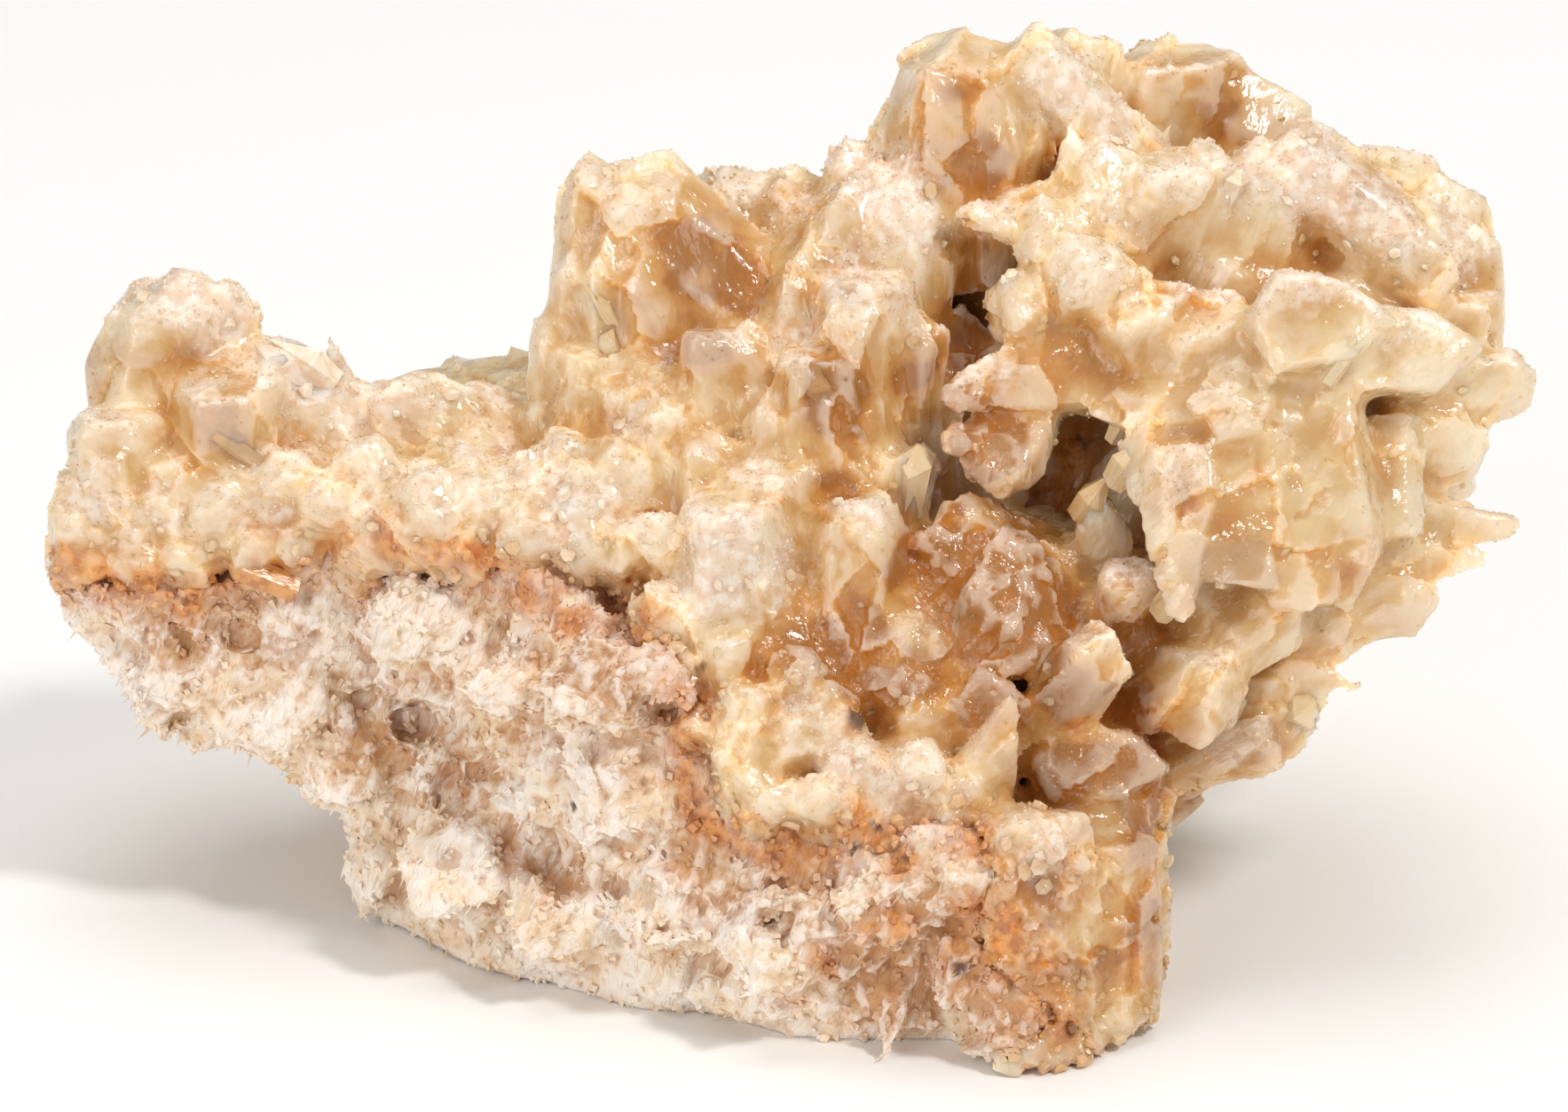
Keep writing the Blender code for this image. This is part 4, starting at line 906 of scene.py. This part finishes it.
def fibre_weight(points, out):
    marks = matrix_marks(points, out)
    return 0.1 + marks["frost"] * (1 - marks["rust"]) + 0.2 * ramp(noise(points, 5.0, 63), 0, 0.5)


def crumb_weight(points, out):
    marks = matrix_marks(points, out)
    return 0.25 + marks["rust"] + 0.4 * marks["frost"]


def grow_fibres():
    chance = np.random.default_rng(104)
    count = int(7000 * FEWER)
    feet, out = scatter(*MATRIX_SKIN, count, fibre_weight, chance)
    axis = fibre_axis(feet, out, chance)
    width, height = chance.uniform(0.08, 0.24, count), chance.uniform(0.8, 2.4, count)
    points, faces = copy_crystals(
        "fibre", feet - out * 0.12 - axis * 0.4 * height[:, None], axis, width, height,
        chance.uniform(0.5, 1.0, count), chance,
    )
    return grow_piece("fibres", [(points, faces, feet, out)], matrix_marks)


fibres = grow_fibres()
crumbs = crust(
    "crumbs", 105, MATRIX_SKIN, matrix_marks, crumb_weight, 10000,
    (("grain", (0.14, 0.5), (0.25, 0.8)),), 0.6, 0.45, 0.6,
)

# %% [markdown]
# ## Materials
#
# Calcite is pale and lets light in: it scatters just under the surface, which gives the waxy look.
# The Principled shader does that with its subsurface setting. The colour is mixed step by step from
# cream, by the marks that the points carry and by noise of several sizes: honey, then orange and deep
# brown in hollows and recesses, which are partly painted glow and shade, white frost, then rust and its
# dark heart on top. Dents get painted shade and edges that stand out a painted highlight. Colours are
# given as they look on a screen, from 0 to 255, and turned into the even scale that the shader works in.

# %% Helpers for colours and nodes
def colour(red, green, blue):
    def even(value):
        share = value / 255
        return share / 12.92 if share <= 0.04045 else ((share + 0.055) / 1.055) ** 2.4
    return (even(red), even(green), even(blue), 1.0)


class Maker:
    """Adds nodes to one material."""

    def __init__(self, name, base=None):
        self.material = bpy.data.materials.new(name)
        self.material.use_nodes = True
        self.tree = self.material.node_tree
        self.shader = self.tree.nodes["Principled BSDF"]
        self.base = base

    def node(self, kind, **inputs):
        made = self.tree.nodes.new(kind)
        for name, value in inputs.items():
            self.put(made.inputs[name.replace("_", " ")], value)
        return made

    def put(self, socket, value):
        if isinstance(value, bpy.types.NodeSocket):
            self.tree.links.new(value, socket)
        else:
            socket.default_value = value

    def mark(self, name):
        made = self.node("ShaderNodeAttribute")
        made.attribute_name = name
        return made.outputs["Fac"]

    def sum(self, kind, operation, values):
        made = self.node(kind)
        made.operation = operation
        for socket, value in zip(made.inputs, values):
            self.put(socket, value)
        return made

    def math(self, operation, *values):
        made = self.sum("ShaderNodeMath", operation, values)
        made.use_clamp = operation in ("ADD", "SUBTRACT")
        return made.outputs[0]

    def vector(self, operation, *values, scale=None):
        made = self.sum("ShaderNodeVectorMath", operation, values)
        if scale is not None:
            self.put(made.inputs["Scale"], scale)
        return made.outputs["Value" if operation in ("LENGTH", "DOT_PRODUCT") else "Vector"]

    def place(self, drawn=1.0):
        """Where a point is, or the same drawn out along the direction of growth."""
        place = self.node("ShaderNodeTexCoord").outputs["Object"]
        if drawn == 1.0:
            return place
        away = self.vector("SUBTRACT", place, tuple(GROWTH_ROOT / 1000))
        kept = EVEN_REACH / 1000 * (1 - 1 / drawn)
        reach = self.math("MULTIPLY_ADD", self.vector("LENGTH", away), 1 / drawn, kept)
        return self.vector("SCALE", self.vector("NORMALIZE", away), scale=reach)

    def noise(self, size, detail=3.0, drawn=1.0):
        """Noise whose hills are about size millimetres wide."""
        made = self.node("ShaderNodeTexNoise", Vector=self.place(drawn), Scale=1000.0 / size, Detail=detail)
        return made.outputs["Fac"]

    def facets(self, size, drawn=1.0):
        """The height in millimetres of small flat planes, size millimetres wide."""
        place = self.place(drawn)
        made = self.node("ShaderNodeTexVoronoi", Vector=place, Scale=1000.0 / size)
        slope = self.vector("SUBTRACT", made.outputs["Color"], (0.5, 0.5, 0.5))
        height = self.vector("DOT_PRODUCT", self.vector("SUBTRACT", place, made.outputs["Position"]), slope)
        return self.math("MULTIPLY", height, 1000.0)

    def fibrous(self, size, factor):
        """Noise drawn out along the matrix's fibres, by a factor."""
        place = self.place()
        share = self.math("MULTIPLY", self.vector("DOT_PRODUCT", place, tuple(FIBRE)), 1 - 1 / factor)
        moved = self.vector("SUBTRACT", place, self.vector("SCALE", tuple(FIBRE), scale=share))
        made = self.node("ShaderNodeTexNoise", Vector=moved, Scale=1000.0 / size, Detail=3.0)
        return made.outputs["Fac"]

    def range(self, value, low, high, new_low=0.0, new_high=1.0):
        made = self.node(
            "ShaderNodeMapRange", Value=value, From_Min=low, From_Max=high, To_Min=new_low, To_Max=new_high,
        )
        made.interpolation_type = "SMOOTHSTEP"
        return made.outputs["Result"]

    def mix(self, factor, first, second):
        made = self.node("ShaderNodeMix")
        made.data_type = "RGBA"
        for index, value in ((0, factor), (6, first), (7, second)):
            self.put(made.inputs[index], value)
        return made.outputs[2]

    def cover(self, tint, value, low, high, thin=0.0, thick=1.0):
        """Lay a colour over the base colour, the thicker the nearer a value or mark is to high."""
        value = self.mark(value) if isinstance(value, str) else value
        self.base = self.mix(self.range(value, low, high, thin, thick), self.base, tint)

    def stain(self, fine, low):
        """Lay the iron stain and its dark heart over the base colour."""
        self.cover(self.mix(self.range(fine, 0.35, 0.6), RUST, BRIGHT_RUST), "rust", low, 0.85, 0.0, 0.92)
        self.cover(DARK, "dark", 0.3, 0.8, 0.0, 0.9)

    def bump(self, height, strength, distance, before=None):
        made = self.node("ShaderNodeBump", Height=height, Strength=strength, Distance=distance / 1000)
        if before is not None:
            self.put(made.inputs["Normal"], before)
        return made.outputs["Normal"]

    def set(self, **values):
        for name, value in values.items():
            self.put(self.shader.inputs[name.replace("_", " ")], value)


print("white is", colour(255, 255, 255))

# %% [markdown]
# ### Crystal material
#
# The same recipe serves the large crystals, the overgrowth, the druse and the sugar, with its own gloss
# for each. Light scatters inside the large skin alone: in crystals this small it would run out through
# their buried feet, and they would turn grey. The small pieces carry the number vary, so each
# crystal is a little lighter or darker than the next.

# %% Make the crystal materials
CALCITE_IOR = 1.58
CREAM, PALE = colour(226, 196, 148), colour(234, 213, 177)
HONEY, ORANGE = colour(204, 156, 94), colour(182, 116, 50)
FROST, PINK, GLASSY = colour(245, 231, 213), colour(236, 207, 181), colour(221, 199, 158)
# The darkest honey: partly the crystals' own colour, partly painted shade in recesses.
DEEP_HONEY_AND_SHADE = colour(112, 60, 20)
RUST, BRIGHT_RUST, DARK = colour(188, 108, 46), colour(224, 154, 80), colour(80, 38, 20)


def crystal_material(name, roughness, has_vary):
    """Crystal of a given roughness. has_vary is for the small pieces, which carry the number vary."""
    m = Maker(name, CREAM)
    veil = m.noise(3.2)
    fine = m.noise(0.9)
    streak = m.noise(1.1, 2.0, 6.0)
    honey = m.math("ADD", m.mark("honey"), m.range(veil, 0.35, 0.7, -0.12, 0.25))
    m.cover(PALE, streak, 0.35, 0.65)
    # Honey, orange and deepest brown by the honey mark: the crystals' own colour, with painted glow and
    # shade in hollows and recesses.
    m.cover(HONEY, honey, 0.05, 0.75)
    m.cover(ORANGE, honey, 0.6, 1.1, 0.0, 0.85)
    m.cover(DEEP_HONEY_AND_SHADE, honey, 0.8, 1.25, 0.0, 0.92)
    m.cover(GLASSY, "clear", 0.3, 0.9, 0.0, 0.45)
    if has_vary:
        m.cover(PALE, "vary", 0.0, 1.0, 0.1, 0.45)
    else:
        # Painted shade and highlight: dents turn honey towards orange, edges that stand out turn frost
        # white.
        m.cover(m.mix(honey, HONEY, ORANGE), "dent_shade_and_highlight", 0.52, 1.0, 0.0, 0.65)
        m.cover(FROST, "dent_shade_and_highlight", 0.42, 0.0, 0.0, 0.35)
    frost = m.math("ADD", m.mark("frost"), m.range(fine, 0.3, 0.7, -0.1, 0.12))
    m.cover(m.mix(m.range(fine, 0.4, 0.62), PINK, FROST), frost, 0.12, 0.85, 0.0, 0.95)
    m.stain(fine, 0.1)
    rough = m.range(frost, 0.1, 0.9, roughness, roughness + 0.3)
    rough = m.math("ADD", rough, m.range(veil, 0.3, 0.7, -0.06, 0.08))
    rough = m.math("SUBTRACT", rough, m.range(m.mark("clear"), 0.3, 0.9, 0.0, 0.1))
    normal = m.bump(m.noise(0.45, 2.0, 4.0), 0.8, 0.22)
    if not has_vary:
        normal = m.bump(m.facets(1.1, 2.0), 1.0, 0.6, normal)
    m.set(
        Base_Color=m.base, Roughness=rough, Normal=normal, IOR=CALCITE_IOR, Coat_Weight=0.35,
        Coat_Roughness=0.06,
    )
    if not has_vary:
        m.set(Subsurface_Weight=1.0, Subsurface_Radius=(1.0, 0.7, 0.4), Subsurface_Scale=0.0026)
        m.shader.subsurface_method = "BURLEY"
    return m.material


crystal_body.data.materials.clear()
for piece, name, roughness in (
    (crystal_body, "waxy calcite", 0.2), (overgrowth, "grown calcite", 0.2),
    (druse, "druse calcite", 0.28), (sugar, "sugar calcite", 0.34),
):
    piece.data.materials.append(crystal_material(name, roughness, piece is not crystal_body))
print("crystal materials made")

# %% [markdown]
# ### Matrix material
#
# The matrix is whiter, rougher and not clear. Its warmth is tan and peach in the hollows, its dents get a
# painted shade of tan and its standing edges a painted white highlight.

# %% Make the matrix materials
WHITE, IVORY, TAN = colour(251, 240, 228), colour(240, 214, 180), colour(192, 134, 78)


def matrix_material(name, has_vary):
    m = Maker(name, WHITE)
    veil = m.noise(4.0, 4.0)
    fine = m.noise(0.8, 4.0)
    strand = m.fibrous(0.5, 5.0)
    m.cover(IVORY, veil, 0.35, 0.65)
    m.cover(IVORY, strand, 0.5, 0.75, 0.0, 0.4)
    peach = m.math("ADD", m.mark("peach"), m.range(fine, 0.35, 0.7, -0.15, 0.2))
    m.cover(TAN, peach, 0.05, 0.8, 0.0, 0.85)
    if not has_vary:
        # Painted shade and highlight: dents turn tan, edges that stand out turn white.
        m.cover(TAN, "dent_shade_and_highlight", 0.6, 1.0, 0.0, 0.45)
        m.cover(WHITE, "dent_shade_and_highlight", 0.45, 0.1, 0.0, 0.6)
    m.stain(fine, 0.12)
    if has_vary:
        m.cover(m.mix(fine, IVORY, WHITE), "vary", 0.0, 1.0, 0.0, 0.3)
    rough = m.range(fine, 0.3, 0.7, 0.5, 0.72)
    m.set(Base_Color=m.base, Roughness=rough, IOR=CALCITE_IOR)
    if not has_vary:
        m.set(Normal=m.bump(strand, 0.9, 0.35, m.bump(fine, 0.6, 0.3)))
    return m.material


matrix_body.data.materials.clear()
for piece, name in (
    (matrix_body, "vein calcite"), (fibres, "fibrous calcite"), (crumbs, "crumbly calcite"),
):
    piece.data.materials.append(matrix_material(name, piece is not matrix_body))
print("matrix materials made")

# %% [markdown]
# ## One body for all pieces
#
# The two skins take the place of the two solids, which are then hidden. The skins and the small
# crystals on them are all tied to one body, root.

# %% Tie the pieces to one body and hide the solids
for slot, pieces in (
    ("crystal_cluster", (crystal_body, overgrowth, druse, sugar)), ("matrix", (matrix_body, fibres, crumbs)),
):
    for piece in pieces:
        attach(piece, "root")
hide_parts("crystal_cluster")
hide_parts("matrix")

# %% [markdown]
# ## Floor, light and camera
#
# A small object for sale is photographed in a white tent: light comes softly from all sides, with one
# stronger lamp high on the right that makes the small glints. The camera is far away with a long
# lens, so that near and far parts keep their sizes.

# %% Set up the studio
def pale_floor():
    side = 3.0
    mesh = bpy.data.meshes.new("floor")
    corners = [(-side, -side, 0), (side, -side, 0), (side, side, 0), (-side, side, 0)]
    mesh.from_pydata(corners, [], [(0, 1, 2, 3)])
    floor = placed("floor", mesh)
    m = Maker("pale floor")
    m.set(Base_Color=colour(250, 249, 247), Roughness=0.9)
    mesh.materials.append(m.material)


LIT = Vector((0.0, 0.0, 0.03))


def soft_lamp(name, place, size, power, tint=(1.0, 1.0, 1.0)):
    lamp = bpy.data.lights.new(name, "AREA")
    lamp.size, lamp.energy, lamp.color = size, power, tint
    piece = placed(name, lamp)
    piece.location = place
    piece.rotation_euler = (LIT - Vector(place)).to_track_quat("-Z", "Y").to_euler()


pale_floor()
soft_lamp("key lamp", (0.40, -0.28, 0.62), 0.11, 2.7, (1.0, 0.99, 0.97))
soft_lamp("top lamp", (-0.05, 0.15, 0.7), 0.5, 2.0)
soft_lamp("fill lamp", (-0.50, -0.55, 0.25), 0.5, 2.1)

world = bpy.data.worlds.new("white tent")
world.use_nodes = True
sky = world.node_tree.nodes["Background"]
sky.inputs["Color"].default_value = (1.0, 1.0, 1.0, 1.0)
sky.inputs["Strength"].default_value = 0.36
scene.world = world
scene.view_settings.view_transform = "Standard"

FAR, SENSOR = 1.2, 36.0
WIDE = 1767 / DOTS_PER_MM / 1000
camera_data = bpy.data.cameras.new("camera")
camera_data.sensor_width = SENSOR
camera_data.lens = SENSOR * FAR / WIDE
camera_data.clip_start, camera_data.clip_end = 0.05, 20.0
camera = placed("camera", camera_data)
camera.location = Vector(MIDDLE_MM / 1000) - Vector(VIEW) * FAR
camera.rotation_euler = Vector(VIEW).to_track_quat("-Z", "Y").to_euler()
scene.camera = camera
print("camera lens:", round(camera_data.lens), "mm")
